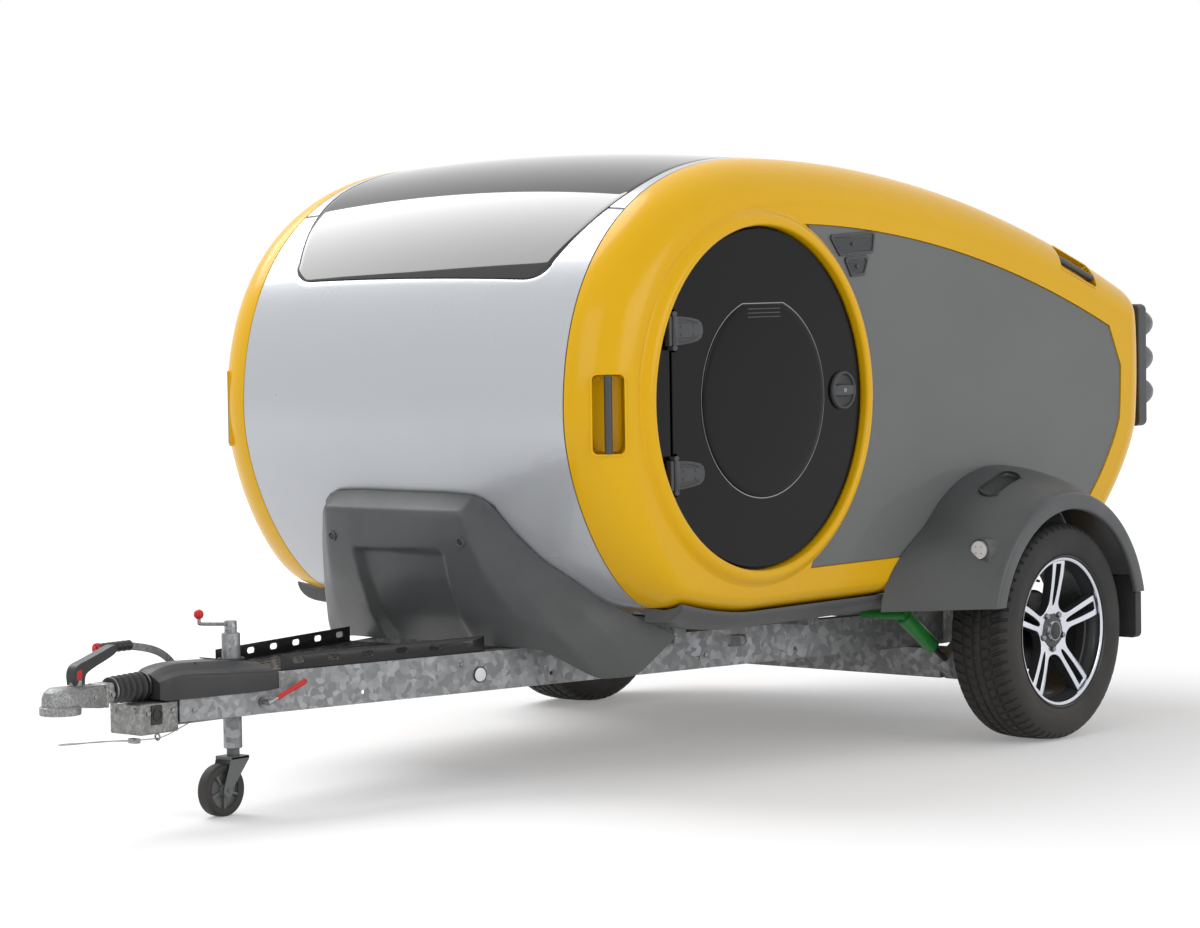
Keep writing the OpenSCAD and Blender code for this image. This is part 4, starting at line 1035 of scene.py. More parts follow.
def make_skins():
    dress(make_front_panel(), SILVER, stands_for=["front_panel"])
    rows = stations_between(SKY_START + 0.0012, SKY_END - 0.001, 90)
    glass = skin_panel("skylight_pane", rows, lambda t: -sky_half_width(t) + JOINT * 1.4,
            lambda t: sky_half_width(t) - JOINT * 1.4, 60, 0.014, -0.0002)
    dress(glass, SKY_GLASS, stands_for=["skylight"])
    roof = skin_panel("roof_middle", stations_between(SKY_END + 0.0015, HATCH_START - 0.004, 44),
            lambda t: -SKY_HIGH_Y, lambda t: SKY_HIGH_Y, 40)
    strips = []
    for side in (1, -1):
        rows = stations_between(SKY_BREAK + 0.0015, HATCH_START - 0.004, 80)
        strip = skin_panel("roof_strip", rows, lambda t: sky_side(t) + 0.0004, lambda t: SEAM_Y - JOINT, 8)
        strips.append(flipped(strip) if side < 0 else strip)
    shown("roof_panel", [roof] + strips, SILVER)
    seals = []
    for side in (1, -1):
        rows = spread(0.0, LOOP_END, 400)[:-1]
        outer = [[roof_point(t, y * side, 0.005) for y in (SEAM_Y - 0.006, SEAM_Y + 0.004)] for t in rows]
        inner = [[roof_point(t, y * side, 0.009) for y in (SEAM_Y - 0.006, SEAM_Y + 0.004)] for t in rows]
        seals.append(sheet("seam_seal", outer, inner, wrap=True))
    for t in (SKY_END, SKY_START):
        half = sky_half_width(t + 0.0001) if t == SKY_START else SKY_HIGH_Y
        outer = [[roof_point(s, y, 0.005) for y in spread(-half, half, 30)] for s in (t - 0.006, t + 0.006)]
        inner = [[roof_point(s, y, 0.009) for y in spread(-half, half, 30)] for s in (t - 0.006, t + 0.006)]
        seals.append(sheet("seam_seal", outer, inner))
    dress(joined("seam_seals", seals), GAP)


make_skins()


# ---------------------------------------------------------------- wheels
TYRE_R = 0.317
WHEEL_Y = TYRE_FACE_Y - TYRE_WIDTH / 2
# half section of the carcass: radius and distance from the middle of the tread
CARCASS = mm((208.5, 87), (215, 89.5), (221.5, 90.5), (224, 93.5), (227.5, 95.5), (233, 96.8),
        (236.5, 98.4), (240, 98.6), (243.5, 99.2), (255, 101.5), (265, 102.4), (274, 102), (283, 100.4),
        (290, 98.2), (294.5, 96.6), (298.5, 94.4), (302, 91.8), (305.2, 88.6), (308, 85), (310.4, 81),
        (312.4, 76.8))
TREAD_ROWS = 52
TREAD_HALF = 0.0768
COLUMNS = 504
LUGS = 63


def tread_depth(column, y):
    """Depth of the tread pattern at a column and a distance from the middle."""
    a = abs(y)
    groove = 0.0
    for centre, half in ((0.0125, 0.003), (0.044, 0.0036)):
        groove = max(groove, 0.0062 * (1 - ease((abs(a - centre) - half) / 0.0012)))
    step = column % (COLUMNS // LUGS)
    if a > 0.047 and step in (0, 1):
        groove = max(groove, 0.0058 * ease((a - 0.0465) / 0.003) * (1 - ease((a - 0.09) / 0.006)))
    elif 0.0165 < a < 0.0395 and step in (0, 1):
        groove = max(groove, 0.0045)
    elif a > 0.05 and step == 4:
        groove = max(groove, 0.0022 * (1 - ease((a - 0.074) / 0.004)))
    elif a < 0.008 and step == 5:
        groove = max(groove, 0.002)
    return groove


def make_tyre():
    """Road tyre: directional tread blocks, ribbed shoulders and a plain sidewall."""
    upper = [(r, -y) for r, y in CARCASS]
    middle = [(TYRE_R - 0.0002 - 0.0044 * (abs(y) / TREAD_HALF) ** 2.6, y)
            for y in spread(-TREAD_HALF, TREAD_HALF, TREAD_ROWS)[1:-1]]
    section = upper + middle + [(r, y) for r, y in reversed(CARCASS)]
    inner = mm((212.5, 80), (260, 88), (295, 78), (305, 0), (295, -78), (260, -88), (212.5, -80))
    points, faces = [], []
    n = len(section) + len(inner)
    for c in range(COLUMNS):
        for r, y in section:
            lean = 0.085 * ease(abs(y) / 0.095)
            a = 2 * pi * c / COLUMNS + lean
            d = tread_depth(c, y) if r > 0.288 else 0.0
            points.append((AXLE_X + (r - d) * cos(a), WHEEL_Y + y, AXLE_Z + (r - d) * sin(a)))
        for r, y in inner:
            a = 2 * pi * c / COLUMNS + 0.07
            points.append((AXLE_X + r * cos(a), WHEEL_Y + y, AXLE_Z + r * sin(a)))
    for c in range(COLUMNS):
        d = (c + 1) % COLUMNS
        for k in range(n):
            j = (k + 1) % n
            faces.append((c * n + k, c * n + j, d * n + j, d * n + k))
    return smooth(tidy_normals(new_piece("tyre", points, faces)), 34)


SPOKES = 5
FACE_Y = TYRE_FACE_Y - 0.0195
SPOKE_END = 0.2065
BOLT_CIRCLE_R = 0.0535


def spoke_half_width(r):
    """Half the width of a double spoke at a radius."""
    return 0.0225 + 0.0085 * ease((r - 0.055) / 0.15) + 0.032 * (1 - ease((r - 0.035) / 0.065)) ** 2


def make_spokes():
    """Star of five split spokes round the hub, dished towards the middle."""
    border = []
    for i in range(SPOKES):
        turn = 90 + 360 / SPOKES * i
        radii = spread(0.062, SPOKE_END, 26)
        side = [(r, -spoke_half_width(r)) for r in radii] + [(r, spoke_half_width(r))
                for r in reversed(radii)]
        c, s = cosd(turn), sind(turn)
        border += [(r * c - w * s, r * s + w * c) for r, w in side]
    holes = []
    for i in range(SPOKES):
        turn = radians(90 + 360 / SPOKES * i)
        line = mm((72, 0), (76, 4.2), (85, 6.6), (105, 8.8), (135, 10.8), (165, 12.2), (186, 13),
                (195.5, 12.6))
        line = line + [(r, -w) for r, w in reversed(line[1:])]
        c, s = cos(turn), sin(turn)
        holes.append([(r * c - w * s, r * s + w * c) for r, w in line])
        turn += pi / SPOKES
        holes.append(arc((BOLT_CIRCLE_R * cos(turn), BOLT_CIRCLE_R * sin(turn)), 0.0088, 0, 342, 19))
    holes.append(arc((0, 0), 0.03, 0, 352.5, 47))
    star = settled(prism("spokes", border, -0.03, 0.0, holes=holes, rounding=0.0022, segments=3))
    for v in star.data.vertices:
        r = hypot(v.co.x, v.co.z)
        v.co.y += FACE_Y - 0.03 * (1 - ease(r / 0.215)) - 0.004
        v.co.x += AXLE_X
        v.co.z += AXLE_Z
    coated(coated(star, ALLOY), ALLOY_DARK)
    for face in star.data.polygons:
        face.material_index = 0 if face.normal.y > 0.45 else 1
    return smooth(star, 40)


def make_rim():
    """Cast wheel: bright lip, dark barrel, spokes, plain cap, bolts and the brake drum's face behind."""
    def turned(name, profile, finish, steps, at=(AXLE_X, 0, AXLE_Z)):
        """Turned part of the wheel; the profile gives radii and depths behind the tyre's outer face."""
        return coated(revolve(name, [(r, TYRE_FACE_Y - d) for r, d in profile], at, steps=steps), finish)

    parts = [make_spokes()]
    parts += [smooth(turned(*part), 30) for part in (
        ("rim_lip", mm((205, 20.5), (205.5, 16.5), (207.5, 14.5), (213.5, 13), (216, 14), (217.2, 18),
                       (212, 24)), ALLOY, 160),
        ("rim_edge", mm((217.2, 19), (220, 15), (221.5, 12), (221.5, 8.5), (219.5, 7.2), (217.5, 9),
                        (216, 15)), ALLOY_DARK, 160),
        ("rim_barrel", mm((216.8, 20), (206.8, 24), (204.5, 34), (198.5, 46), (196, 60), (192.5, 64),
                          (191.5, 90), (194.5, 94), (195.5, 150), (200, 172), (207.5, 188), (215, 198.5),
                          (218, 198.5), (218, 194), (208, 182), (203, 160), (201, 60), (207.5, 40)),
         ALLOY_DARK, 144),
        ("hub_well", mm((0, 72), (60, 72), (66, 64), (66, 50), (46, 48), (0, 48)), ALLOY_DARK, 72),
        ("brake_drum", mm((0, 112), (86, 112), (94, 115), (108, 115), (116, 120), (116, 130), (112.5, 132),
                          (112.5, 150), (116, 152), (116, 215), (0, 215)), POWDER_BLACK, 96),
        ("hub_cap", mm((0, 35), (20, 35.5), (25.5, 38), (28.5, 44), (29, 56), (0, 56)), BLACK_PLASTIC, 64),
        ("cap_line", mm((26.2, 37.8), (27.5, 37.6), (30, 44), (30, 56), (28.5, 56)), ALLOY, 64),
    )]
    for i in range(SPOKES):
        a = radians(90 + 360 / SPOKES * (i + 0.5))
        at = (AXLE_X + BOLT_CIRCLE_R * cos(a), 0, AXLE_Z + BOLT_CIRCLE_R * sin(a))
        parts.append(turned("bolt", mm((0, 40), (6, 40.2), (7.8, 42), (7.8, 56), (0, 56)), STEEL, 6, at))
    a = radians(90 - 360 / SPOKES / 2)
    stem = sweep("valve_stem", [(AXLE_X + r * cos(a), TYRE_FACE_Y - d, AXLE_Z + r * sin(a))
            for r, d in mm((199, 40), (193, 30), (190, 18))], 0.0042, 10)
    return joined("rim", parts + [coated(stem, BLACK_PLASTIC)])


def make_wheels():
    both_sides(make_tyre(), "tyre_visual", RUBBER, ("wheel_left", "wheel_right"), ["tyre"])
    both_sides(make_rim(), "rim_visual", None, ("wheel_left", "wheel_right"), ["rim"])


make_wheels()


# ---------------------------------------------------------------- doors
DOOR_R = DOOR_OPEN_R - 0.007
DOOR_OUT = HALF_WIDTH + 0.002
DOOR_IN = DOOR_OUT - 0.034
HINGE_Y = HALF_WIDTH + 0.014
HINGE_H = 0.078
PANE_X = DOOR_X - 0.014
PANE_TOP = DOOR_Z + PANE_R * 0.945
LATCH_X, LATCH_Z = DOOR_X - 0.37, DOOR_Z + 0.008


def clipped(centre, radius, top=None, left=None, right=None, n=240):
    """Circle with flat sides where it passes a height or a station."""
    line = []
    for a in spread(0, 360, n)[:-1]:
        p = [centre[0] + radius * cosd(a), centre[1] + radius * sind(a)]
        if top is not None:
            p[1] = min(p[1], top)
        if right is not None:
            p[0] = min(p[0], right)
        if left is not None:
            p[0] = max(p[0], left)
        line.append(tuple(p))
    return [p for p, q in zip(line, line[1:] + line[:1]) if dist(p, q) > 1e-5]


def pane_line(grow):
    radius = PANE_R + grow
    top = PANE_TOP + grow
    start = math.degrees(asin((top - DOOR_Z) / radius))
    return arc((PANE_X, DOOR_Z), radius, 180 - start, 360 + start, 150)


def notched_door(radius):
    """Door outline cut straight at the hinge line, with a notch at each hinge lug."""
    edge = HINGE_X - 0.004
    line = arc((DOOR_X, DOOR_Z), radius, math.degrees(acos((edge - DOOR_X) / radius)),
            360 - math.degrees(acos((edge - DOOR_X) / radius)), 220)
    levels = []
    for side in (-1, 1):
        for k in (-1, 1):
            levels.append(side * HINGE_RISE + k * (HINGE_H / 2 + 0.006))
    steps = []
    for level in sorted(levels):
        low, high = DOOR_Z + level - 0.011, DOOR_Z + level + 0.011
        steps += [(edge, low), (HINGE_X - 0.02, low), (HINGE_X - 0.02, high), (edge, high)]
    return line + steps


def make_door():
    """Round door skin with a fine rounded rim, its pane set in a groove."""
    door = prism("door_skin", notched_door(DOOR_R), DOOR_IN, DOOR_OUT, holes=[pane_line(0.0012)],
            rounding=0.0022, segments=3)
    coated(door, BLACK_GLOSS)
    seal = settled(prism("door_seal", clipped((DOOR_X, DOOR_Z), DOOR_R - 0.003, right=HINGE_X - 0.024),
            DOOR_IN - 0.0035, DOOR_IN + 0.001, holes=[clipped((DOOR_X, DOOR_Z), DOOR_R - 0.014,
            right=HINGE_X - 0.036)]))
    coated(seal, SOFT_RUBBER)
    liner = settled(prism("door_liner", clipped((DOOR_X, DOOR_Z), DOOR_R - 0.02, right=HINGE_X - 0.04),
            DOOR_IN - 0.002, DOOR_IN + 0.002, holes=[pane_line(0.01)]))
    coated(liner, LINER)
    return joined("door_visual", [door, seal, liner])


def make_pane():
    """Hinged acrylic pane: slightly domed, rounded edge, three fine ribs along its flat top."""
    rings = []
    for inset, y in ((0.0, DOOR_IN + 0.008), (0.0, DOOR_OUT + 0.0012), (0.0004, DOOR_OUT + 0.0026),
            (0.0018, DOOR_OUT + 0.004), (0.004, DOOR_OUT + 0.0046), (0.02, DOOR_OUT + 0.0049),
            (0.07, DOOR_OUT + 0.0056), (0.15, DOOR_OUT + 0.0059)):
        line = pane_line(-0.001 - inset)
        rings.append([Vector((x, y, z)) for x, z in line])
    pane = loft("pane", rings, 45)
    coated(pane, DOOR_GLASS)
    parts = [pane]
    for i in range(3):
        z = PANE_TOP - 0.014 - 0.011 * i
        rib = block("pane_rib", (PANE_X - 0.072, DOOR_OUT + 0.004, z - 0.0014),
                (PANE_X + 0.072, DOOR_OUT + 0.006, z + 0.0014), 0.0007, 2)
        coated(rib, DARK_FINE)
        parts.append(rib)
    trim = settled(prism("pane_trim", pane_line(0.0022), DOOR_OUT - 0.004, DOOR_OUT + 0.001,
            holes=[pane_line(-0.0006)]))
    coated(trim, STEEL)
    inside = settled(prism("pane_inside", pane_line(0.006), DOOR_IN - 0.003, DOOR_IN + 0.004,
            holes=[pane_line(-0.014)]))
    coated(inside, SOFT_RUBBER)
    return joined("pane_visual", parts + [trim, inside])


def make_hinge_leaf(z):
    """Tapered, ridged hinge leaf with its knuckle."""
    x = HINGE_X
    h = HINGE_H / 2 - 0.0005
    border = [(x - 0.004, z - h), (x - 0.004, z + h), (x - 0.04, z + h * 0.97), (x - 0.08, z + h * 0.86),
            (x - 0.108, z + h * 0.72), (x - 0.122, z + h * 0.5), (x - 0.127, z + h * 0.16),
            (x - 0.127, z - h * 0.16), (x - 0.122, z - h * 0.5), (x - 0.108, z - h * 0.72),
            (x - 0.08, z - h * 0.86), (x - 0.04, z - h * 0.97)]
    base = prism("leaf", border, DOOR_OUT + 0.0003, DOOR_OUT + 0.0085, rounding=0.002, segments=3)
    middle = [(x + (u - x) * 0.86 - 0.004, z + (v - z) * 0.56) for u, v in border]
    rise = prism("leaf_rise", middle, DOOR_OUT + 0.006, DOOR_OUT + 0.0138, rounding=0.003, segments=3)
    parts = [base, rise]
    for k in (-1, 1):
        parts.append(sweep("leaf_rib", [(x - 0.012, DOOR_OUT + 0.0088, z + k * h * 0.8),
                (x - 0.06, DOOR_OUT + 0.009, z + k * h * 0.76), (x - 0.104, DOOR_OUT + 0.0084, z
                + k * h * 0.52)], 0.0022, 8))
        for at in (-0.03, -0.082):
            parts.append(revolve("leaf_screw", mm((0, 0), (4.5, 0), (4.5, 1.2), (2.5, 1.8), (0, 0.8)),
                    (x + at, DOOR_OUT + 0.0136, z + k * h * 0.28), steps=20))
    knuckle = revolve("knuckle", [(0.0052, -h), (0.0092, -h), (0.01, -h + 0.0015), (0.01, h - 0.0015),
            (0.0092, h), (0.0052, h)], (x, HINGE_Y, z), "Z", 28)
    return parts + [smooth(knuckle, 40)]


def make_latch():
    """Round recessed paddle latch."""
    at = (LATCH_X, DOOR_OUT, LATCH_Z)
    ring = smooth(revolve("latch_ring", mm((44.5, 0.6), (54, 0.4), (54, 6), (52.5, 9.5), (50, 11.5),
            (47.5, 11.5), (45.5, 9.8), (44.5, 7)), at, steps=72), 30)
    cup = smooth(revolve("latch_cup", mm((0, 0.4), (45, 0.4), (45, 8), (43, 4.4), (36, 2.2), (0, 1.6)), at,
            steps=72), 30)
    paddle = []
    for x in spread(-0.044, 0.044, 22):
        w = 0.015 - 0.002 * (x / 0.044) ** 2
        lift = 0.0088 + 0.0022 * (1 - (x / 0.044) ** 2)
        section = [(w, 0.003), (w, lift - 0.0016), (w * 0.9, lift), (w * 0.45, lift + 0.0008),
                (0, lift + 0.001), (-w * 0.45, lift + 0.0008), (-w * 0.9, lift), (-w, lift - 0.0016),
                (-w, 0.003)]
        paddle.append([Vector((LATCH_X + x, DOOR_OUT + v, LATCH_Z + u)) for u, v in section])
    paddle = loft("paddle", paddle, 35)
    lock = smooth(revolve("lock", mm((0, 8), (6.8, 8), (6.8, 12.8), (5.8, 13.6), (1, 13.6), (1, 12),
            (0, 12)), at, steps=32), 30)
    slot = block("lock_slot", (LATCH_X - 0.0008, DOOR_OUT + 0.0128, LATCH_Z - 0.004),
            (LATCH_X + 0.0008, DOOR_OUT + 0.0138, LATCH_Z + 0.004), 0.0003, 1)
    return coat_all((ring, DARK_FINE), (cup, BLACK_PLASTIC), (paddle, DARK_FINE), (lock, STEEL), (slot, GAP))


def make_hinge_plate():
    """Fixed crescent of the doorway in front of the hinge line, with pins and lugs."""
    edge = HINGE_X + 0.004
    r = DOOR_OPEN_R - 0.0006
    a = math.degrees(acos((edge - DOOR_X) / r))
    plate = prism("crescent", arc((DOOR_X, DOOR_Z), r, -a, a, 70), DOOR_IN, HALF_WIDTH, rounding=0.0008,
            segments=2)
    coated(plate, BLACK_GLOSS)
    parts = [plate]
    for side in (1, -1):
        z = DOOR_Z + side * HINGE_RISE
        pin = revolve("hinge_pin", [(0, -HINGE_H / 2 - 0.012), (0.0049, -HINGE_H / 2 - 0.012),
                (0.0049, HINGE_H / 2 + 0.012), (0, HINGE_H / 2 + 0.012)], (HINGE_X, HINGE_Y, z), "Z", 24)
        coated(pin, STEEL)
        parts.append(smooth(pin, 40))
        for k in (-1, 1):
            level = z + k * (HINGE_H / 2 + 0.006)
            lug = block("hinge_lug", (HINGE_X - 0.007, HALF_WIDTH - 0.0005, level - 0.0055),
                    (HINGE_X + 0.012, HINGE_Y + 0.007, level + 0.0055), 0.0025, 3)
            coated(lug, DARK_FINE)
            parts.append(lug)
        bracket = block("hinge_bracket", (HINGE_X + 0.0125, HALF_WIDTH - 0.0005, z - 0.04),
                (HINGE_X + 0.024, HALF_WIDTH + 0.0185, z + 0.04), 0.003, 3)
        coated(bracket, DARK_FINE)
        parts.append(bracket)
    seal = settled(prism("doorway_seal", arc((DOOR_X, DOOR_Z), DOOR_OPEN_R + 0.001, 0, 360, 160)[:-1],
            HALF_WIDTH - 0.03, HALF_WIDTH - 0.02, holes=[arc((DOOR_X, DOOR_Z), DOOR_OPEN_R - 0.0055, 0, 360,
            160)[:-1]]))
    coated(seal, SOFT_RUBBER)
    return joined("hinge_plate_visual", parts + [seal])


def make_doors():
    bodies = ("door_left", "door_right")
    both_sides(make_door(), "door_visual", None, bodies, ["door"])
    both_sides(make_pane(), "pane_visual", None, bodies, ["door_window"])
    parts = make_latch()
    for side in (1, -1):
        for one in make_hinge_leaf(DOOR_Z + side * HINGE_RISE):
            coated(one, DARK_FINE)
            parts.append(one)
    both_sides(joined("fittings", parts), "door_fittings_visual", None, bodies,
            ["door_fittings"])
    both_sides(make_hinge_plate(), "hinge_plate_visual", None, whole_node="hinge_plates")


make_doors()


# ---------------------------------------------------------------- guard, sills and fenders
GUARD_OFF = 0.0089
# columns of the guard from the middle outwards, top to bottom: (x, y, z), or (station, y) on the skin
GUARD = [
    [(0.713, 0.0), (0.8, 0.0, 0.748), (0.781, 0.0, 0.67), (0.748, 0.0, 0.56), (0.702, 0.0, 0.46),
     (0.64, 0.0, 0.38)],
    [(0.713, 0.15), (0.799, 0.15, 0.748), (0.78, 0.15, 0.67), (0.747, 0.155, 0.56), (0.702, 0.165, 0.46),
     (0.64, 0.19, 0.38)],
    [(0.705, 0.25), (0.792, 0.25, 0.748), (0.772, 0.262, 0.67), (0.728, 0.292, 0.56), (0.668, 0.33, 0.465),
     (0.6, 0.362, 0.376)],
    [(0.69, 0.28), (0.752, 0.294, 0.738), (0.728, 0.322, 0.64), (0.672, 0.372, 0.53), (0.59, 0.44, 0.4),
     (0.505, 0.48, 0.292)],
    [(0.675, 0.296), (0.716, 0.324, 0.718), (0.68, 0.362, 0.632), (0.622, 0.418, 0.548), (0.53, 0.492, 0.44),
     (0.43, 0.555, 0.298)],
    [(0.66, 0.309), (0.555, 0.349), (0.435, 0.399), (0.323, 0.459), (0.158, 0.499), (0.343, 0.622, 0.402)],
]
POCKET_TOP, POCKET_HALF, POCKET_DEPTH = 0.646, 0.163, 0.024


def guard_net(per_span):
    """Dense net of the left half of the guard, rows from the top, columns from the middle."""
    corners = [[roof_point(p[0], p[1], -GUARD_OFF) if len(p) == 2 else Vector(p) for p in column]
            for column in GUARD]
    rows = []
    for i in range(len(GUARD[0]) - 1):
        for k in range(per_span + (i == len(GUARD[0]) - 2)):
            v = k / per_span
            line = [a[i].lerp(a[i + 1], v) for a in corners]
            row = []
            for j in range(len(line) - 1):
                for m in range(per_span + (j == len(line) - 2)):
                    row.append(line[j].lerp(line[j + 1], m / per_span))
            rows.append(row)
    return np.array([[tuple(p) for p in row] for row in rows])


def softened(net, passes):
    """Rounds the folds of a net, its first and last lines kept in place."""
    for _ in range(passes):
        inner = net.copy()
        inner[1:-1, 1:-1] = (net[1:-1, 1:-1] * 2 + net[:-2, 1:-1] + net[2:, 1:-1] + net[1:-1, :-2]
                + net[1:-1, 2:]) / 6
        inner[-1, 1:-1] = (net[-1, 1:-1] * 2 + net[-1, :-2] + net[-1, 2:]) / 4
        net = inner
    return net


def net_normals(net):
    """Outward normals of a net."""
    across = np.gradient(net, axis=1)
    down = np.gradient(net, axis=0)
    n = np.cross(down, across)
    n /= np.linalg.norm(n, axis=2, keepdims=True) + 1e-12
    n[n[..., 0] < 0] *= -1
    return n


def make_guard():
    """Moulded stone guard on the nose, with its open pocket and two screw recesses."""
    left = guard_net(18)
    net = np.concatenate([left[:, :0:-1] * np.array([1, -1, 1]), left], axis=1)
    net = softened(net, 14)
    y, z = np.abs(net[..., 1]), net[..., 2]
    half = POCKET_HALF - 0.006 * (POCKET_TOP - z) / 0.26
    inside = np.clip((half - y) / 0.011, 0, 1) * np.clip((POCKET_TOP - z) / 0.013, 0, 1)
    inside = inside * inside * (3 - 2 * inside)
    flat = net.copy()
    flat[..., 0] -= POCKET_DEPTH * inside
    flat = softened(flat, 1)
    normals = net_normals(flat)
    outer = [[Vector(p) for p in row] for row in flat]
    inner = [[Vector(p) for p in row] for row in flat - normals * 0.0065]
    top = [Vector(p) for p in flat[0] - normals[0] * 0.0002]
    lip = [p + Vector((-0.0065, 0, 0.0008)) for p in top]
    behind = [p + Vector((-0.001, 0, -0.004)) for p in lip]
    guard = smooth(sheet("front_guard_visual", [lip] + outer, [behind] + inner), 42)
    coated(guard, DARK)
    parts = [guard]
    out = Vector((0.969, 0.069, -0.238)).normalized()
    for side in (1, -1):
        aim = Vector((out.x, out.y * side, out.z))
        turn = aim.to_track_quat("Y", "Z").to_matrix().to_4x4()
        ring = smooth(revolve("screw_ring", mm((8.5, -4), (9, 0.8), (10.5, 2), (12.5, 2), (14, 0.6),
                (15, -4)), (0, 0, 0), steps=40), 30)
        coated(ring, DARK)
        dip = smooth(revolve("screw_dip", mm((0, -6), (9.2, -6), (9.2, 0.2), (7.8, -1), (6, 0.2), (0, 0.4)),
                (0, 0, 0), steps=32), 30)
        coated(dip, BLACK_PLASTIC)
        for one in (ring, dip):
            parts.append(moved(one, turn, (0.7765, 0.236 * side, 0.67)))
    shown("front_guard", parts)


SILL = mm((-4, -38), (30, -37.5), (60, -36), (86, -29.5), (104, -20), (117, -9), (124.5, 3), (126.2, 10),
        (124.5, 15.8), (118, 14.5), (104, 6.2), (66, -2.6), (30, -0.8), (-4, -0.5))


def make_sills():
    """Dark moulding under each side, rising to the guard at its front."""
    rings = []
    for x in spread(AXLE_X + 0.458, NOSE_X - 0.327, 70):
        rise = 0.04 * max(0.0, (x - NOSE_X + 0.637) / 0.297) ** 1.8
        rings.append([Vector((x, SEAM_Y + u, FLOOR_Z + v + rise)) for u, v in SILL])
    sill = loft("sill", rings, 38)
    both_sides(sill, "sill_visual", DARK, whole_node="sills")


# section of a fender: radius and side, from the cabin out over the lip and back inside
FENDER = mm((478, 735.7), (476.2, 760), (472.5, 790), (466.8, 822), (459, 854), (450, 884), (440.5, 910),
        (431, 933), (421.5, 954), (413, 972), (408, 985), (405, 994), (402.8, 999), (399.5, 1002.2),
        (395, 1003.5), (386, 1003.7), (364, 1003.7), (359, 1003), (356, 1000.5), (355.2, 996), (355.2, 990),
        (360, 988.5), (390, 988.5), (398.5, 980), (407, 960), (418, 934), (433, 900), (448, 858),
        (461, 810), (469, 770), (472, 735.7))
FENDER_LOW = 0.4085
FENDER_ROOT_Y, FENDER_FACE_Y = 0.7357, 1.0035
FENDER_LIP_R = 0.4
# how far the root sweeps forward, from which angle on and over how many degrees
FENDER_SWEEP, SWEEP_FROM, SWEEP_OVER = 0.108, 46, 36
# place of the step recess on the fender: angle round the axle, radius, side, and its tilt
STEP_ANGLE, STEP_R, STEP_Y, STEP_TILT = 72, 0.462, 0.85, -20


def fender_reach(r, y):
    """Share of the way from the outer face to the root, nil on the lip."""
    return max(0.0, (FENDER_FACE_Y - y) / (FENDER_FACE_Y - FENDER_ROOT_Y)) if r > FENDER_LIP_R else 0.0


def swept_radius(r, reach, angle):
    return r + FENDER_SWEEP * ease((SWEEP_FROM - angle) / SWEEP_OVER) * reach ** 1.5


def fender_point(r, y, angle):
    """Point of the fender at an angle round the axle; its root sweeps forward near the lower front end."""
    r = swept_radius(r, fender_reach(r, y), angle)
    a = radians(angle)
    return Vector((AXLE_X + r * cos(a), y, AXLE_Z + r * sin(a)))


def make_fender():
    """Moulded fender with its flat lip and step recess."""
    rings = []
    count = 150
    for i in range(count + 1):
        ring = []
        for r, y in FENDER:
            reach = fender_reach(r, y)
            start = 13.0
            for _ in range(6):
                wide = swept_radius(r, reach, start)
                start = math.degrees(asin((FENDER_LOW - AXLE_Z + 0.006 * (1 - reach)) / wide))
            end = 180 - math.degrees(asin((FENDER_LOW - AXLE_Z - 0.002) / r))
            ring.append(fender_point(r, y, blend(start, end, i / count)))
        rings.append(ring)
    fender = loft("fender", rings, 36)
    a = radians(STEP_ANGLE)
    turn = Matrix.Rotation(radians(90) - a, 4, "Y") @ Matrix.Rotation(radians(STEP_TILT), 4, "X")
    at = (AXLE_X + STEP_R * cos(a), STEP_Y, AXLE_Z + STEP_R * sin(a))
    step = prism("step_cutter", stadium((0, 0), 0.165, 0.058, 16), -0.02, 0.06, axis="Z", rounding=0.006)
    cut(fender, moved(settled(step), turn, at), 36)
    cup = prism("step_cup", stadium((0, 0), 0.173, 0.066, 16), -0.022, -0.004, axis="Z")
    hollow = prism("step_hollow", stadium((0, 0), 0.1652, 0.0582, 16), -0.018, 0.06, axis="Z", rounding=0.004)
    cup = moved(cut(settled(cup), settled(hollow), 36), turn, at)
    return [fender, cup]


MARKER = (-0.65, 0.928, 0.577)


def hull_of(name, points, sharp=40):
    """Convex solid round a cloud of points."""
    bm = bmesh.new()
    for p in points:
        bm.verts.new(p)
    found = bmesh.ops.convex_hull(bm, input=bm.verts[:])
    bmesh.ops.delete(bm, geom=list({g for g in found["geom_interior"]
            if isinstance(g, bmesh.types.BMVert)}), context="VERTS")
    bmesh.ops.recalc_face_normals(bm, faces=bm.faces)
    return smooth(from_bmesh(name, bm), sharp)


def ring_points(x, y, z, r, n=40):
    return [(x, y + r * cos(2 * pi * k / n), z + r * sin(2 * pi * k / n)) for k in range(n)]


def make_marker_boss():
    x, y, z = MARKER
    cloud = (ring_points(x + 0.0015, y, z, 0.031) + ring_points(x - 0.0005, y, z, 0.0325)
            + ring_points(x - 0.07, y + 0.002, z, 0.0325) + ring_points(x - 0.012, y + 0.022, z - 0.09,
            0.0035, 10) + ring_points(x - 0.05, y + 0.04, z - 0.06, 0.004, 10))
    return hull_of("marker_boss", cloud, 30)


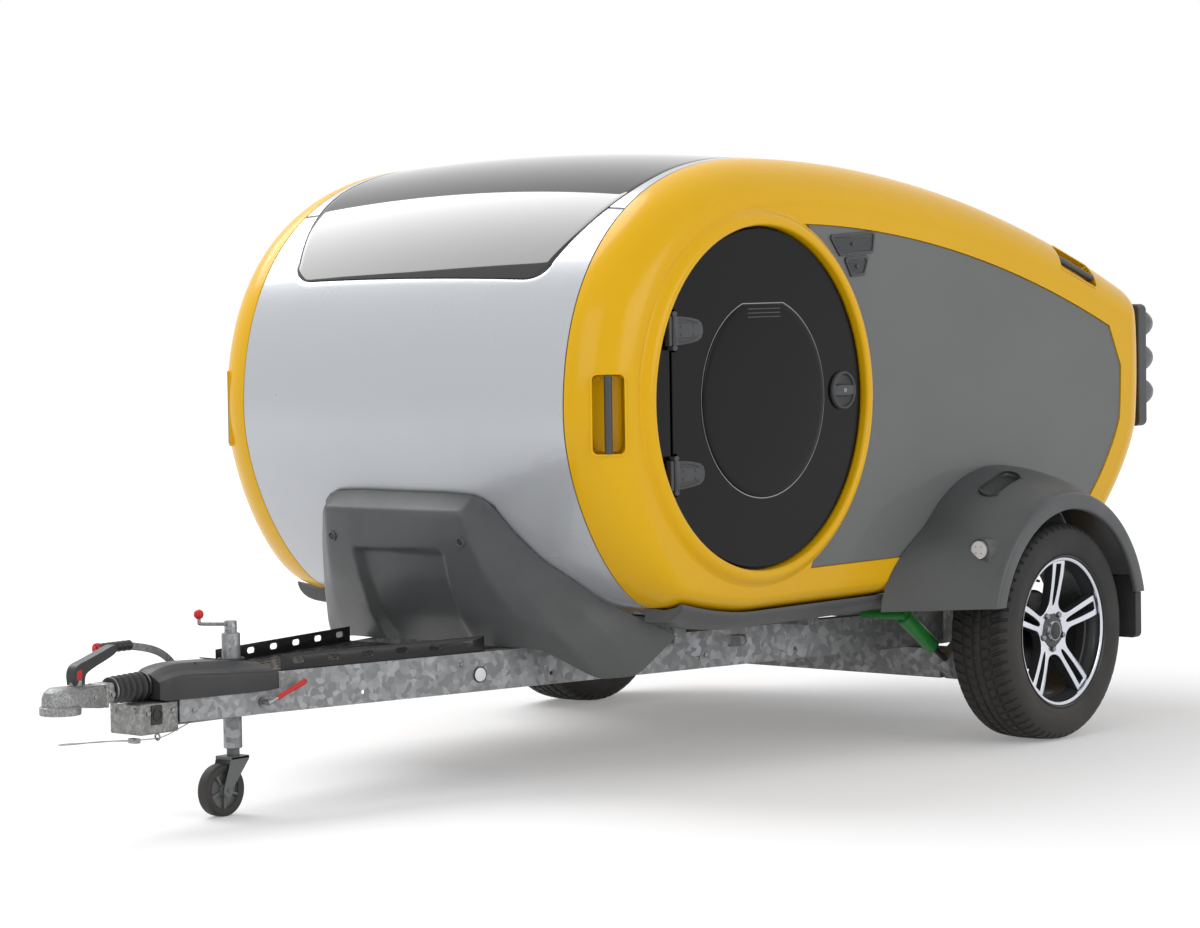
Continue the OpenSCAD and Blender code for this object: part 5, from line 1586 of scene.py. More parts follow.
def make_marker():
    """White side marker: a shallow domed lens with four small pins in a thin bezel."""
    x, y, z = MARKER
    lens = smooth(revolve("marker_lens", mm((0, 0.2), (26.2, 0.2), (26.2, 5.2), (25, 6.6), (16, 7.8),
            (0, 8.1)), (x, y, z), "X", 56), 40)
    coated(lens, WHITE_LENS)
    bezel = smooth(revolve("marker_bezel", mm((26, 0.2), (28.2, 0.2), (28.2, 5.6), (27, 7), (25.8, 6.4)),
            (x, y, z), "X", 56), 40)
    coated(bezel, STEEL)
    parts = [lens, bezel]
    for k in range(4):
        a = radians(45 + 90 * k)
        pin = revolve("marker_pin", mm((0, 6), (1.7, 6), (1.7, 8.3), (0, 8.4)),
                (x, y + 0.0125 * cos(a), z + 0.0125 * sin(a)), "X", 12)
        coated(pin, BLACK_PLASTIC)
        parts.append(pin)
    return joined("marker", parts)


def make_mudflap():
    """Flap under the rear end of the fender, its lower corners rounded."""
    y0, y1 = HALF_WIDTH + 0.071, 0.9955
    border = rounded_outline([(y0, 0.2685), (y1, 0.2685), (y1, 0.44), (y0, 0.44)], 0.016, 6)
    top = 0.4045
    border = [(u, v) for u, v in border if v < top] + [(y1, top), (0.9868, top), (0.9868, 0.452), (y0, 0.452)]
    return prism("mudflap", border, AXLE_X - 0.383, AXLE_X - 0.351, axis="X", rounding=0.003)


def make_arches():
    shell, cup = make_fender()
    boss = make_marker_boss()
    for part, finish in ((shell, DARK), (boss, DARK), (cup, BLACK_PLASTIC)):
        part.data.materials.clear()
        coated(part, finish)
    both_sides(joined("fender", [shell, boss, cup]), "fender_visual", None,
            stands_for=["fender"])
    both_sides(make_marker(), "marker_lamp_visual", None, whole_node="marker_lamps")
    both_sides(make_mudflap(), "mudflap_visual", SOFT_RUBBER, whole_node="mudflaps")


make_guard()
make_sills()
make_arches()


# ---------------------------------------------------------------- tail
LAMP_X = TAIL_X - 0.052
LAMP_Y = SEAM_Y + 0.04
LAMP_Z = 1.082
LAMP_PITCH = 0.107
LAMP_R = 0.048


def make_tail():
    """Tail posts and lower panel, lamp boards and their domed lamps."""
    low, high = HATCH_HALF + 0.006, SEAM_Y - JOINT
    post = skin_panel("tail_post", stations_between(HATCH_START + 0.001, 5.998, 150), lambda t: low,
            lambda t: high, 10)
    twin = mirrored(post, "tail_post_twin")
    panel = skin_panel("tail_panel", stations_between(HATCH_END + 0.012, 5.998, 30), lambda t: -low + JOINT,
            lambda t: low - JOINT, 30)
    shown("rear_frame", [post, twin, panel], DARK)
    boards = []
    for side in (1, -1):
        border = rounded_outline(mm((-56, 870), (56, 870), (56, 1251), (-56, 1251)), 0.02, 8)
        board = prism("lamp_board", [(LAMP_Y * side + u, v) for u, v in border], LAMP_X + 0.0002,
                TAIL_X - 0.0055, axis="X", rounding=0.005, segments=4)
        boards.append(board)
    shown("lamp_boards", boards, DARK_FINE)
    lamps = []
    for side in (1, -1):
        for k in (-1, 0, 1):
            at = (LAMP_X - 0.0003, LAMP_Y * side, LAMP_Z + k * LAMP_PITCH)
            body = smooth(revolve("lamp_body", [(0, 0), (LAMP_R, 0), (LAMP_R, -0.034),
                    (LAMP_R - 0.0015, -0.0375), (LAMP_R - 0.005, -0.0385), (0, -0.0385)], at, "X", 72), 30)
            coated(body, DARK)
            dome = [(0, -0.03)] + [((LAMP_R - 0.0055) * cosd(a), -0.037 - 0.0575 * sind(a))
                    for a in spread(0, 90, 14)]
            dome = smooth(revolve("lamp_dome", dome, at, "X", 72), 40)
            coated(dome, LENS)
            lamps += [body, dome]
            for n in range(5):
                r = 0.009 + 0.0075 * n
                h = -0.037 - 0.0575 * sqrt(max(0.0, 1 - (r / (LAMP_R - 0.0055)) ** 2))
                line = smooth(revolve("lamp_line", [(r - 0.0006, h + 0.002), (r + 0.0006, h + 0.002),
                        (r + 0.0005, h - 0.0002), (r - 0.0005, h - 0.0002)], at, "X", 48), 30)
                coated(line, LENS)
                lamps.append(line)
    shown("rear_lamps", lamps)


def make_hatch():
    """Rear hatch with its lining; its edge rolls over all round."""
    panel = skin_panel("hatch_skin", stations_between(HATCH_START + 0.0004, HATCH_END, 150),
            lambda t: -HATCH_HALF, lambda t: HATCH_HALF, 56)
    coated(panel, SILVER)
    rows = spread(HATCH_START + 0.03, HATCH_END - 0.04, 60)
    ys = spread(-HATCH_HALF + 0.03, HATCH_HALF - 0.03, 20)
    lining = smooth(sheet("hatch_lining", [[roof_point(t, y, SKIN - 0.001) for y in ys] for t in rows],
            [[roof_point(t, y, SKIN + 0.0035) for y in ys] for t in rows]), 40)
    coated(lining, LINER)
    dress(joined("rear_hatch_visual", [panel, lining]), None, "rear_hatch")


make_tail()
make_hatch()


# ---------------------------------------------------------------- drawbar and its fittings
RAIL_FRONT = (1.64, 0.062)
RAIL_TURN = atan2(0.528, 2.59)
JOCKEY_X = 1.397


def rail_y(x):
    """Outer face of the left rail."""
    return RAIL_FRONT[1] + (RAIL_FRONT[0] - x) * tan(RAIL_TURN)


def plane_turn():
    """Turn that lays a piece built along X on the outer face of the left rail."""
    return Matrix.Rotation(-RAIL_TURN, 4, "Z")


def bolt(at, axis="Y", size=0.0075, sign=1, washer=True):
    """Hexagon bolt head with its washer, standing off a face along an axis."""
    parts = []
    if washer:
        parts.append(revolve("washer", [(0, -0.001), (size * 1.5, -0.001), (size * 1.5, 0.0008),
                (size * 1.42, 0.0012), (0, 0.0012)], (0, 0, 0), "Z", 28))
    hexagon = [(size * cosd(60 * k + 12), size * sind(60 * k + 12)) for k in range(6)]
    parts.append(prism("bolt_head", hexagon, 0.0008, size * 0.85, axis="Z", rounding=0.001, segments=2))
    turns = {("X", 1): ("Y", 90), ("X", -1): ("Y", -90), ("Y", 1): ("X", -90), ("Y", -1): ("X", 90),
            ("Z", 1): ("X", 0), ("Z", -1): ("X", 180)}
    about, degrees = turns[(axis, sign)]
    piece = moved(joined("bolt", parts), Matrix.Rotation(radians(degrees), 4, about), at)
    return smooth(piece, 30)


COVER = mm((1704, 60, 330, 372, 392), (1680, 68, 326, 380, 404), (1620, 74, 325, 386, 412),
        (1500, 97, 325, 380, 408), (1400, 117, 326, 376, 400), (1352, 127, 330, 374, 392))


def make_cover():
    """Dark moulded cover of the drawbar, chamfered, open below, with a hole round the jockey tube."""
    stations = catmull([Vector(c[:3]) for c in COVER], 8)
    tops = catmull([Vector((c[0], c[3], c[4])) for c in COVER], 8)
    rings, within = [], []
    for low, top in zip(stations, tops):
        x, w, base, shoulder, high = low.x, low.y, low.z, top.y, top.z
        half = [(w, base), (w, shoulder - 0.007), (w - 0.0012, shoulder - 0.0025),
                (w * 0.96, shoulder + 0.0008), (w * 0.73, shoulder + 0.0085), (w * 0.67, shoulder + 0.0105),
                (w * 0.42, high - 0.0012), (w * 0.36, high), (0, high)]
        ring = [(x, y, z) for y, z in half] + [(x, -y, z) for y, z in half[-2::-1]]
        rings.append([Vector(p) for p in ring])
        within.append([Vector((p[0], p[1] * (1 - 0.0035 / w), max(base, p[2] - 0.0035))) for p in ring])
    cover = smooth(sheet("drawbar_cover_visual", rings, within), 32)
    front = prism("cover_end", [(p.y, p.z) for p in rings[0]], 1.7005, 1.7036, axis="X", rounding=0.0012,
            segments=2)
    rear = prism("cover_back", [(p.y, p.z) for p in rings[-1]], 1.3522, 1.356, axis="X", rounding=0.0012,
            segments=2)
    cut(cover, settled(revolve("tube_cutter", mm((0, 200), (29.8, 200), (29.8, 500), (0, 500)),
            (JOCKEY_X, 0, 0), "Z", 72)), 32)
    collar = revolve("tube_collar", mm((29.8, 392), (29.8, 403.5), (30.6, 405), (33, 405), (34.5, 403),
            (34.5, 394)), (JOCKEY_X, 0, 0), "Z", 72)
    parts = [cover, front, rear, smooth(collar, 30)]
    for x in (1.47, 1.56):
        parts.append(block("cover_rib", (x - 0.0016, -0.04, 0.4075), (x + 0.0016, 0.04, 0.4108), 0.0008, 2))
    shown("drawbar_cover", parts, BLACK_PLASTIC)


def make_gaiter():
    """Ribbed rubber gaiter of the draw tube."""
    x0, x1, r = 1.7062, 1.8218, 0.038
    profile = [(0.024, x0), (0.034, x0), (0.0352, x0 + 0.002), (0.0352, x0 + 0.007)]
    folds = 5
    first, last = x0 + 0.008, x1 - 0.01
    for i in range(folds * 12 + 1):
        turn = 2 * pi * i / 12
        crest = (0.5 - 0.5 * cos(turn)) ** 0.75
        taper = 1 - 0.09 * i / (folds * 12)
        profile.append(((r - 0.0108 + 0.0106 * crest) * taper, first + (last - first) * i / (folds * 12)))
    profile += [(0.0318, x1 - 0.008), (0.0318, x1 - 0.001), (0.031, x1), (0.022, x1)]
    gaiter = smooth(revolve("drawtube_gaiter_visual", profile, (0, 0, 0.362), "X", 84), 50)
    clips = [smooth(revolve("gaiter_band", [(rr, x), (rr + 0.0012, x), (rr + 0.0012, x + 0.004),
            (rr, x + 0.004)], (0, 0, 0.362), "X", 60), 30) for rr, x in ((0.035, x0 + 0.0022),
            (0.0316, x1 - 0.0066))]
    coated(gaiter, SOFT_RUBBER)
    for clip in clips:
        coated(clip, STEEL)
    shown("drawtube_gaiter", [gaiter] + clips)


def make_coupling():
    """Cast coupling head with its ball socket, and the handle with its red insert."""
    x, z = 1.982, 0.345
    cloud = []
    for r, h in mm((45.5, -6), (46, 2), (45.5, 14), (40, 28.5), (30, 37.2), (24, 39.5)):
        cloud += [(x + r * cos(a), r * sin(a), z + h) for a in (radians(7.5 * k) for k in range(48))]
    for px, w, low, high in mm((1874, 33.5, -20.5, 36), (1858, 33, -18, 35.5), (1852, 29, -15, 33)):
        cloud += [(px, side * w, z + low) for side in (1, -1)] + [(px, side * w, z + high - 0.012)
                for side in (1, -1)]
        cloud += [(px, side * (w - 0.009), z + high) for side in (1, -1)]
    head = hull_of("coupling_body", cloud, 28)
    rim_low = revolve("coupling_skirt", mm((25, -28), (49.5, -28), (51.5, -26.2), (52, -18), (51.5, -8.5),
            (49, -6.2), (25, -6)), (x, 0, z), "Z", 96)
    body = block("coupling_neck", (1.8235, -0.029, z - 0.0115), (1.856, 0.029, z + 0.0385), 0.009, 5)
    flange = block("coupling_flange", (1.851, -0.0355, z - 0.0215), (1.86, 0.0355, z + 0.037), 0.004, 3)
    socket = revolve("socket_cutter", mm((0, -70), (25.4, -70), (25.4, 4), (18, 11.5), (0, 13)), (x, 0, z),
            "Z", 72)
    cut(head, settled(socket), 28)
    ridge = block("coupling_ridge", (1.874, -0.0045, z + 0.03), (1.908, 0.0045, z + 0.0392), 0.003, 3)
    parts = [head, smooth(rim_low, 28), body, flange, ridge]
    for part in parts:
        coated(part, CAST)
    for px in (1.836, 1.9):
        for sign in (1, -1):
            head_bolt = bolt((px, sign * (0.029 if px < 1.85 else 0.0375), z + 0.01), "Y", 0.0068, sign)
            coated(head_bolt, ZINC)
            parts.append(head_bolt)
    shown("coupling_head", parts)

    side = mm((1945.5, 386), (1948, 408), (1944, 425), (1932, 437), (1905, 445.5), (1860, 460),
            (1816, 474.5), (1807.5, 473.5), (1804, 466), (1807.5, 456), (1830, 444.5), (1875, 427.5),
            (1902, 415), (1910.5, 404), (1912.5, 386))
    outline = catmull([Vector((px, 0, pz)) for px, pz in side], 5)
    handle = prism("handle_body", [(p.x, p.z) for p in outline], -0.0158, 0.0158, axis="Y", rounding=0.0062,
            segments=5)
    root = revolve("handle_root", mm((0, 383.6), (17.6, 383.6), (17.8, 387), (17, 392), (15, 398),
            (0, 400)), (1.93, 0, 0), "Z", 60)
    insert = prism("handle_insert", rounded_outline(mm((1922.5, 398.5), (1940.5, 398.5), (1939.5, 420.5),
            (1920.5, 426.5)), 0.005, 5), -0.0162, 0.0162, axis="Y", rounding=0.0015, segments=3)
    pin = revolve("handle_pin", mm((0, -16.8), (5, -16.8), (5.6, -16), (5.6, 16), (5, 16.8), (0, 16.8)),
            (1.929, 0, 0.3935), "Y", 36)
    shown("coupling_handle", coat_all((handle, BLACK_PLASTIC), (smooth(root, 30), CAST), (insert, RED),
            (smooth(pin, 30), STEEL)))


LEVER = mm((1505, 296), (1496, 340), (1500, 387), (1532, 418), (1579, 438), (1649, 452), (1680, 455))


def make_handbrake():
    """Curved flat lever with its black grip and the red button at the grip's end."""
    path = catmull([Vector((x, 0, z)) for x, z in LEVER], 8)
    left, right = [], []
    for i, p in enumerate(path):
        ahead = (path[min(len(path) - 1, i + 1)] - path[max(0, i - 1)]).normalized()
        out = Vector((-ahead.z, 0, ahead.x)) * 0.0098
        left.append((p.x + out.x, p.z + out.z))
        right.append((p.x - out.x, p.z - out.z))
    lever = prism("lever_bar", left + right[::-1], -0.1109, -0.1051, axis="Y", rounding=0.0014, segments=2)
    boss = revolve("lever_boss", mm((0, -116), (9.6, -116), (10, -115.2), (10, -100), (0, -100)),
            (1.505, 0, 0.302), "Y", 40)
    pivot = revolve("lever_pivot", mm((0, -100), (9.2, -100), (9.2, -93.5), (0, -93.5)), (1.505, 0, 0.302),
            "Y", 40)
    nut = bolt((1.505, -0.1158, 0.302), "Y", 0.0066, -1, washer=False)
    rivet = bolt((1.5015, -0.111, 0.352), "Y", 0.0052, -1)
    grip = mm((0, 1648), (11.8, 1648), (13.8, 1650.5))
    for i in range(41):
        x = 1.654 + 0.1 * i / 40
        dip = 0.0009 * (0.5 - 0.5 * cos(2 * pi * 6 * i / 40))
        grip.append((0.0138 - dip, x))
    grip += mm((14.8, 1755.5), (15, 1758), (14.8, 1762), (13.4, 1764), (7.4, 1764.3), (0, 1764.3))
    grip = smooth(revolve("lever_grip", grip, (0, -0.108, 0.454), "X", 64), 30)
    button = revolve("lever_button", mm((0, 1763.5), (7, 1763.5), (7, 1767.6), (5.8, 1769.5), (0, 1769.9)),
            (0, -0.108, 0.454), "X", 40)
    end = revolve("grip_end", mm((8.5, 1756), (14.9, 1756), (14.95, 1760), (14, 1764.6), (9, 1765),
            (8.5, 1764)), (0, -0.108, 0.454), "X", 64)
    shown("handbrake_lever", coat_all((lever, ZINC), (smooth(boss, 30), STEEL), (smooth(pivot, 30), STEEL),
            (nut, ZINC), (rivet, ZINC), (grip, BLACK_PLASTIC), (smooth(button, 30), RED),
            (smooth(end, 30), RED)))


def make_tray():
    """Slotted floor and sides of the tray over the drawbar."""
    run = (1.338 - 0.7) / cos(RAIL_TURN)
    sides = []
    for sign in (1, -1):
        plate = block("tray_plate", (0.0005, 0.0002, 0.0), (run - 0.0005, 0.0028, 0.0418), 0.0009, 2)
        for i in range(6):
            slot = prism("slot_cutter", stadium((run * (i + 0.5) / 6, 0.024), 0.036, 0.016, 14), -0.01,
                    0.02, axis="Y")
            cut(plate, settled(slot), 30)
        flange = block("tray_flange", (0.0015, 0.0004, 0.0005), (run - 0.0015, 0.015, 0.0026), 0.0008, 2)
        turn = Matrix.Rotation(pi - RAIL_TURN, 4, "Z")
        shift = (1.338, rail_y(1.338) - 0.003, 0.3725)
        sides += [moved(part, turn, shift) for part in (plate, flange)]
        if sign < 0:
            for part in sides[-2:]:
                moved(part, Matrix.Scale(-1, 4, (0, 1, 0)))
                part.data.flip_normals()
    shown("tray_sides", sides, POWDER_BLACK)
    x0, x1 = 0.7005, 1.3375
    border = [(x1, -rail_y(x1) + 0.0066), (x1, rail_y(x1) - 0.0066), (x0, rail_y(x0) - 0.0066),
            (x0, -rail_y(x0) + 0.0066)]
    floor = prism("tray_floor_visual", border, 0.3724, 0.3752, axis="Z")
    cutters = []
    x = x0 + 0.03
    while x < x1 - 0.025:
        half = rail_y(x) - 0.03
        count = max(1, int(half / 0.03))
        for k in range(-count, count + 1):
            wide = 2 * half / (2 * count + 1)
            cutters.append(prism("floor_cutter", rounded_outline([(x - 0.007, k * wide - wide / 2 + 0.004),
                    (x + 0.007, k * wide - wide / 2 + 0.004), (x + 0.007, k * wide + wide / 2 - 0.004),
                    (x - 0.007, k * wide + wide / 2 - 0.004)], 0.004, 3), 0.35, 0.4, axis="Z"))
        x += 0.0262
    cut(floor, joined("floor_cutters", cutters), 30)
    dress(floor, POWDER_BLACK, stands_for=["tray_floor"])


def make_jockey():
    """Clamp, tube with crank, fork and wheel of the jockey stand."""
    top = 0.324
    collar = revolve("clamp_collar", [(0.0243, 0.2762), (0.0322, 0.2762), (0.033, 0.2772),
            (0.033, top - 0.001), (0.0322, top), (0.0243, top)], (JOCKEY_X, 0, 0), "Z", 84)
    half = rail_y(JOCKEY_X + 0.02) - 0.005
    yoke = [block("clamp_yoke", (JOCKEY_X - 0.0195, 0.0275, 0.2715), (JOCKEY_X + 0.0195, half, 0.3138),
            0.004, 3)]
    yoke.append(mirrored(yoke[0], "clamp_yoke_twin"))
    y0 = rail_y(JOCKEY_X)
    rod = revolve("clamp_rod", [(0, y0 + 0.0018), (0.0068, y0 + 0.0018), (0.0068, y0 + 0.0275),
            (0.006, y0 + 0.029), (0, y0 + 0.029)], (JOCKEY_X, 0, 0.298), "Y", 32)
    plate = revolve("clamp_plate", [(0.0069, y0 + 0.0012), (0.013, y0 + 0.0012), (0.013, y0 + 0.0036),
            (0.0069, y0 + 0.0036)], (JOCKEY_X, 0, 0.298), "Y", 40)
    start = Vector((JOCKEY_X, y0 + 0.027, 0.298))
    end = Vector((JOCKEY_X - 0.11, y0 + 0.048, 0.345))
    ahead = (end - start).normalized()
    profile = mm((0, -7.2), (5.8, -6.2), (6.6, -2), (5.2, 10), (5, 30))
    bar_turn = ahead.to_track_quat("Z", "Y").to_matrix().to_4x4()
    arm = moved(smooth(revolve("clamp_arm", profile + [(0, 0.03)], (0, 0, 0), "Z", 32), 30), bar_turn, start)
    run = (end - start).length
    grip = [(0, 0.026), (0.0062, 0.026), (0.007, 0.03), (0.0056, 0.048), (0.006, 0.065),
            (0.0074, run - 0.02), (0.0078, run - 0.01), (0.0068, run - 0.002), (0.004, run + 0.0006),
            (0, run + 0.0012)]
    grip = moved(smooth(revolve("clamp_grip", grip, (0, 0, 0), "Z", 36), 40), bar_turn, start)
    parts = [smooth(collar, 30)] + yoke
    for part in parts:
        coated(part, ZINC)
    for part in (rod, plate, arm):
        coated(part, STEEL)
    coated(grip, RED)
    shown("jockey_clamp", parts + [smooth(rod, 30), smooth(plate, 30), arm, grip])

    r = 0.024
    tube = revolve("tube_outer", [(0, 0.1722), (r - 0.001, 0.1722), (r, 0.1732), (r, 0.467),
            (r - 0.0012, 0.469), (0.017, 0.47), (0.016, 0.4712), (0.016, 0.499), (0.015, 0.5008),
            (0, 0.5008)], (JOCKEY_X, 0, 0), "Z", 72)
    ring = revolve("tube_ring", mm((15.8, 478.8), (16.2, 479.2), (16.2, 484), (15.8, 484.4)),
            (JOCKEY_X, 0, 0), "Z", 60)
    crank = sweep("crank", arc_path([(JOCKEY_X + 0.001, 0, 0.4918), (JOCKEY_X + 0.06, 0, 0.4968),
            (JOCKEY_X + 0.1065, 0, 0.5012), (JOCKEY_X + 0.1105, 0, 0.5055), (JOCKEY_X + 0.1118, 0, 0.516)]),
            0.0046, 20)
    knob = [(0, -0.0128)] + [(0.0129 * cosd(a), 0.0129 * sind(a)) for a in spread(-84, 84, 22)] + [(0,
            0.0129)]
    ball = smooth(revolve("crank_ball", knob, (JOCKEY_X + 0.112, 0, 0.526), "Z", 48), 60)
    shown("jockey_tube", coat_all((smooth(tube, 30), GALVANISED), (smooth(ring, 30), STEEL), (crank, ZINC),
            (ball, RED)), None, "jockey_tube")

    wx, wz = JOCKEY_X + 0.046, 0.068
    tyre = mm((47, -15.5), (58, -19.6), (64, -19), (66.8, -16.5), (67.8, -11), (68, 0))
    tyre = smooth(revolve("jockey_tyre", tyre + [(a, -b) for a, b in tyre[-2::-1]], (wx, 0, wz), "Y", 96), 60)
    disc = mm((6.5, -19.5), (15, -19.5), (16.2, -18), (17, -7), (46, -6), (47.2, -14), (48.5, -15))
    disc = smooth(revolve("jockey_disc", disc + [(a, -b) for a, b in disc[::-1]], (wx, 0, wz), "Y", 72), 30)
    spokes = []
    for k in range(5):
        for sign in (1, -1):
            y_low, y_high = sorted((sign * 0.0055, sign * 0.0145))
            spoke = block("jockey_spoke", (0.014, y_low, -0.0035), (0.0475, y_high, 0.0035), 0.001, 2)
            spokes.append(moved(spoke, Matrix.Rotation(radians(72 * k + 18), 4, "Y"), (wx, 0, wz)))
    coated(tyre, RUBBER)
    for part in [disc] + spokes:
        coated(part, GREY)
    shown("jockey_wheel", [tyre, disc] + spokes, None, "jockey_wheel")

    cheeks = []
    for sign in (1, -1):
        low, high = sorted((sign * 0.0262, sign * 0.0288))
        top_z = 0.1528
        border = [(JOCKEY_X - 0.0298, top_z), (JOCKEY_X + 0.0358, top_z), (JOCKEY_X + 0.0358, 0.1435)]
        border += [(wx + 0.0168 * cosd(a), wz + 0.0168 * sind(a)) for a in spread(22, -196, 26)]
        border += [(JOCKEY_X - 0.0298, 0.1435)]
        cheeks.append(prism("fork_cheek", border, low, high, axis="Y", rounding=0.0008, segments=2))
        cheeks.append(bolt((wx, sign * 0.0288, wz), "Y", 0.0048, sign, washer=False))
    crown_bar = block("fork_crown", (JOCKEY_X - 0.0298, -0.0288, 0.1442),
            (JOCKEY_X + 0.0358, 0.0288, 0.1528), 0.002, 3)
    stem = revolve("fork_stem", mm((0, 152.5), (16.8, 152.5), (16.8, 170.8), (16, 171.5), (0, 171.5)),
            (JOCKEY_X, 0, 0), "Z", 48)
    shown("jockey_fork", cheeks + [crown_bar, smooth(stem, 30)], GREY, "jockey_fork")


def arc_path(points):
    return catmull([Vector(p) for p in points], 7)


def make_drawbar_box():
    """Zinc-plated box at the front of the drawbar, with its plug holder, bolts and cable ring."""
    front = block("drawbar_front", (1.6403, -0.0578, 0.2452), (1.7678, 0.0578, 0.3235), 0.0045, 4)
    tongue = block("drawbar_tongue", (1.4803, -0.0498, 0.2715), (1.645, 0.0498, 0.3235), 0.0035, 3)
    parts = [front, tongue]
    for part in parts:
        hollow = block("drawbar_hollow", (1.3, -0.0448, 0.23), (1.7625, 0.0448, 0.3185), 0.003, 3)
        cut(part, settled(hollow), 30)
    for x in (1.662, 1.746):
        for sign in (1, -1):
            parts.append(bolt((x, sign * 0.0576, 0.3), "Y", 0.0075, sign))
    for y in (-0.036, 0.036):
        parts.append(bolt((1.7676, y, 0.306), "X", 0.0065, 1))
    ring = smooth(revolve("ring_eye", [(0.008 + 0.0024 * cosd(a), 0.0024 * sind(a))
            for a in range(0, 360, 24)], (0, 0, 0), "Z", 44), 60)
    moved(ring, Matrix.Rotation(radians(90), 4, "Y"), (1.712, 0.0555, 0.238))
    for part in parts + [ring]:
        coated(part, ZINC)
    holder = block("plug_holder", (1.6985, 0.056, 0.269), (1.7345, 0.0625, 0.318), 0.0025, 3)
    cup = revolve("plug_cup", mm((11.5, 62), (15, 62), (15.4, 63), (15.4, 65.5), (14.6, 65.9), (11.8, 65.9),
            (11, 64)), (1.7165, 0, 0.294), "Y", 44)
    floor = revolve("plug_floor", mm((0, 62.2), (12, 62.2), (12, 63.2), (0, 63.2)), (1.7165, 0, 0.294), "Y",
            40)
    for part in (holder, smooth(cup, 30), smooth(floor, 30)):
        coated(part, BLACK_PLASTIC)
    shown("drawbar_box", parts + [ring, holder, cup, floor])


def make_reflectors():
    """White round reflectors on the outer faces of the rails, and rail bolts."""
    x, z = 0.72, 0.312
    turn = plane_turn()
    disc = revolve("reflector_glass", mm((0, 1.2), (18, 1.2), (18.6, 3), (12, 4.6), (0, 5)), (0, 0, 0), "Y",
            44)
    rim_ring = revolve("reflector_rim", mm((18.4, 0.3), (21.2, 0.3), (21.5, 3), (20.5, 4.4), (18.8, 4)),
            (0, 0, 0), "Y", 44)
    disc = moved(smooth(disc, 30), turn, (x, rail_y(x), z))
    rim_ring = moved(smooth(rim_ring, 30), turn, (x, rail_y(x), z))
    coated(disc, WHITE_LENS)
    coated(rim_ring, BLACK_PLASTIC)
    both_sides(joined("reflector", [disc, rim_ring]), "reflector_visual", None)
    bolts = []
    for bx, bz in mm((1560, 345), (1600, 295), (1290, 330), (780, 345), (330, 345), (-50, 305)):
        one = bolt((0, 0, 0), "Y", 0.0072, 1)
        bolts.append(moved(one, turn, (bx, rail_y(bx) - 0.0004, bz)))
    both_sides(joined("rail_bolts", bolts), "rail_bolts_visual", ZINC)


DAMPER_TOP, DAMPER_LOW = (-0.6, 0.692, 0.384), (-0.835, 0.692, 0.221)
DAMPER_Y = (0.5502, 0.7058)


def make_dampers():
    """Green damper tube with its black rod, from the rail down to the swing arm."""
    top, low = Vector(DAMPER_TOP), Vector(DAMPER_LOW)
    run = (low - top).length
    turn = (low - top).to_track_quat("Z", "Y").to_matrix().to_4x4()
    first, split, last = run * 0.021, run * 0.618, run * 0.886
    tube = [(0, first), (0.0205, first), (0.0232, first + 0.003), (0.0238, first + 0.008),
            (0.0238, split - 0.016), (0.0232, split - 0.014), (0.0232, split - 0.011),
            (0.0238, split - 0.009), (0.0236, split - 0.002), (0.0215, split), (0, split)]
    rod = [(0, split - 0.004), (0.0088, split - 0.004), (0.0088, last - 0.001), (0.0078, last), (0, last)]
    seal = [(0, split - 0.001), (0.015, split - 0.001), (0.016, split + 0.002), (0.014, split + 0.009),
            (0.0092, split + 0.01), (0, split + 0.01)]
    inner, outer = DAMPER_Y
    sleeve = revolve("damper_sleeve", [(0, inner), (0.0132, inner), (0.0139, inner + 0.001),
            (0.0139, outer - 0.001), (0.0132, outer), (0, outer)], (DAMPER_TOP[0], 0, DAMPER_TOP[2]), "Y",
            44)
    parts = []
    for profile, finish in ((tube, GREEN), (rod, POWDER_BLACK), (seal, BLACK_PLASTIC)):
        part = smooth(revolve("damper_part", profile, (0, 0, 0), "Z", 52), 35)
        coated(part, finish)
        parts.append(moved(part, turn, top))
    coated(sleeve, GREEN)
    both_sides(joined("damper", parts + [smooth(sleeve, 30)]), "damper_visual", None,
            whole_node="dampers")


make_dampers()
make_cover()
make_gaiter()
make_coupling()
make_handbrake()
make_tray()
make_jockey()
make_drawbar_box()
make_reflectors()


# ---------------------------------------------------------------- finishes of the plain CAD pieces
PLAIN = {
    "chassis_rail_left": GALVANISED, "chassis_rail_right": GALVANISED, "cross_members": GALVANISED,
    "axle_beam": GALVANISED, "swing_arms": GALVANISED, "brake_rod": STEEL, "breakaway_clip": STEEL,
    "floor_pan": PLY, "bulkhead": LINER, "hatch_hinges": DARK_FINE,
}
for node, finish in PLAIN.items():
    if node in frame["nodes"]:
        for slot_now in frame["nodes"][node].material_slots:
            slot_now.material = finish


# ---------------------------------------------------------------- floor and light
# glow of the floor near the vehicle and far from it, and strength of the white studio on the object
FLOOR_LIFT = 0.22
FAR_LIFT = 0.66
AMBIENT = 0.55


def seen_directly(tree):
    """1 where the camera sees a surface directly, in a reflection or through glass, else 0."""
    ray = add(tree, "ShaderNodeLightPath")
    seen = calc(tree, "ADD", ray.outputs["Is Camera Ray"], ray.outputs["Is Glossy Ray"])
    return calc(tree, "ADD", seen, ray.outputs["Is Transmission Ray"], use_clamp=True)


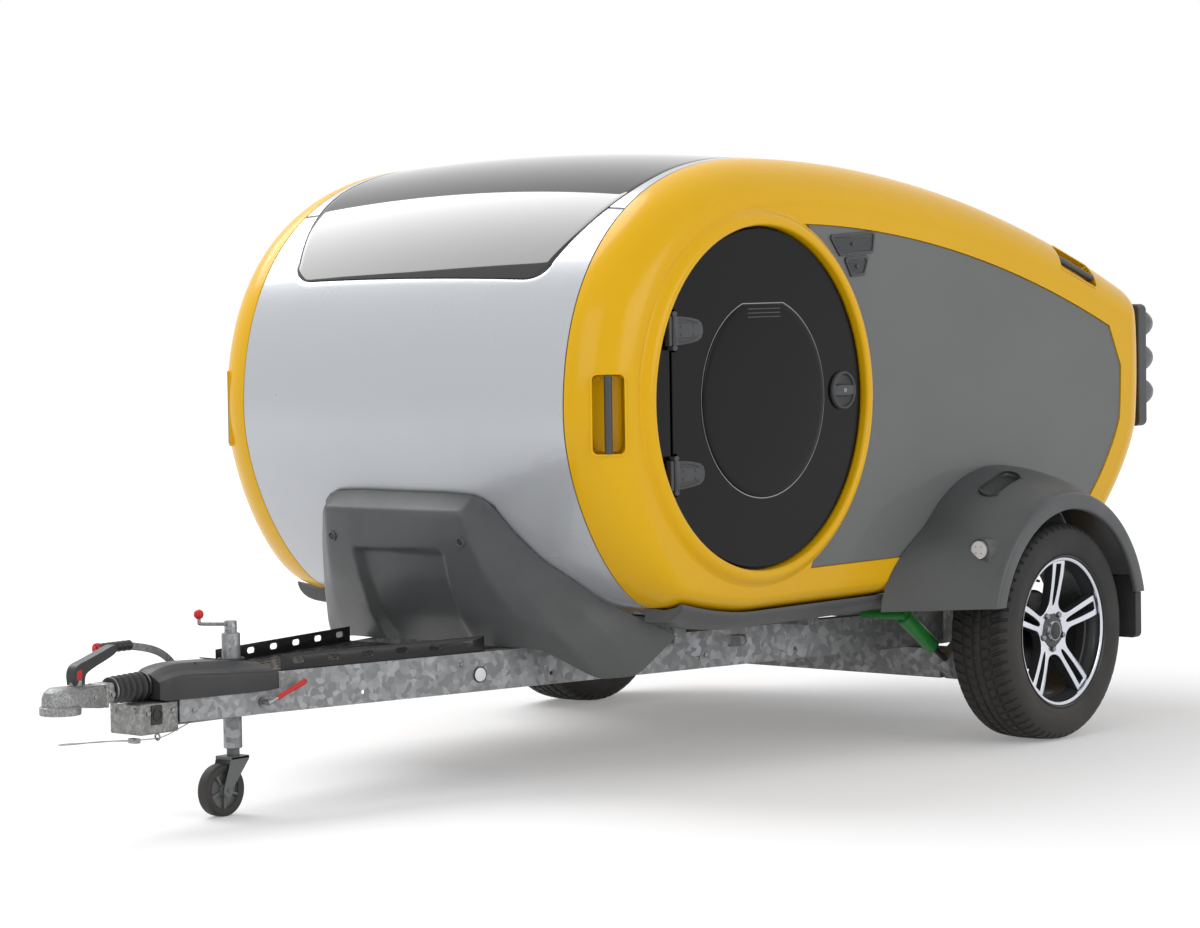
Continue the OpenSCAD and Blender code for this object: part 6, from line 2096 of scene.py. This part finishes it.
def make_stage():
    """Pale floor that keeps the soft shadow, and a plain white studio."""
    floor = new_piece("floor", [(-60, -60, 0), (60, -60, 0), (60, 60, 0), (-60, 60, 0)], [(0, 1, 2, 3)])
    material, tree, shader = finish_of("pale_floor", Roughness=0.9, Specular_IOR_Level=0.1)
    shader.inputs["Base Color"].default_value = (0.8, 0.8, 0.81, 1)
    seen = seen_directly(tree)
    place_now = add(tree, "ShaderNodeTexCoord")
    far = add(tree, "ShaderNodeVectorMath", {0: place_now.outputs["Object"]}, operation="LENGTH")
    lift = add(tree, "ShaderNodeMapRange", {"Value": far.outputs["Value"], "From Min": 3.0,
            "From Max": 10.0, "To Min": FLOOR_LIFT, "To Max": FAR_LIFT})
    tree.links.new(calc(tree, "MULTIPLY", seen, lift.outputs[0]), shader.inputs["Emission Strength"])
    shader.inputs["Emission Color"].default_value = (1, 1, 1, 1)
    coated(floor, material)

    bpy.context.scene.view_settings.view_transform = "Standard"
    world = bpy.data.worlds.new("studio")
    bpy.context.scene.world = world
    world.use_nodes = True
    tree = world.node_tree
    seen = seen_directly(tree)
    level = add(tree, "ShaderNodeMapRange", {"Value": seen, "To Min": AMBIENT, "To Max": 1.0})
    tree.links.new(level.outputs[0], tree.nodes["Background"].inputs["Strength"])
    tree.nodes["Background"].inputs["Color"].default_value = (1, 1, 1, 1)


def soft_box(name, place_at, aim, width, height, power, shape="RECTANGLE"):
    """Large soft lamp aimed at a point."""
    data = bpy.data.lights.new(name, "AREA")
    data.shape = shape
    data.size, data.size_y = width, height
    data.energy = power
    lamp = linked(name, data)
    lamp.location = place_at
    lamp.rotation_mode = "QUATERNION"
    lamp.rotation_quaternion = (Vector(aim) - Vector(place_at)).to_track_quat("-Z", "Y")
    return lamp


make_stage()
soft_box("overhead", (0.3, -5.1, 7.5), (0.5, 0, 1.2), 6.4, 8.0, 560, "ELLIPSE")
soft_box("front_fill", (7.0, 1.0, 4.0), (0.4, 0, 0.8), 4.0, 4.0, 90)
soft_box("side_fill", (-0.5, 8.0, 3.4), (-0.4, 0, 0.9), 6.0, 3.5, 160)
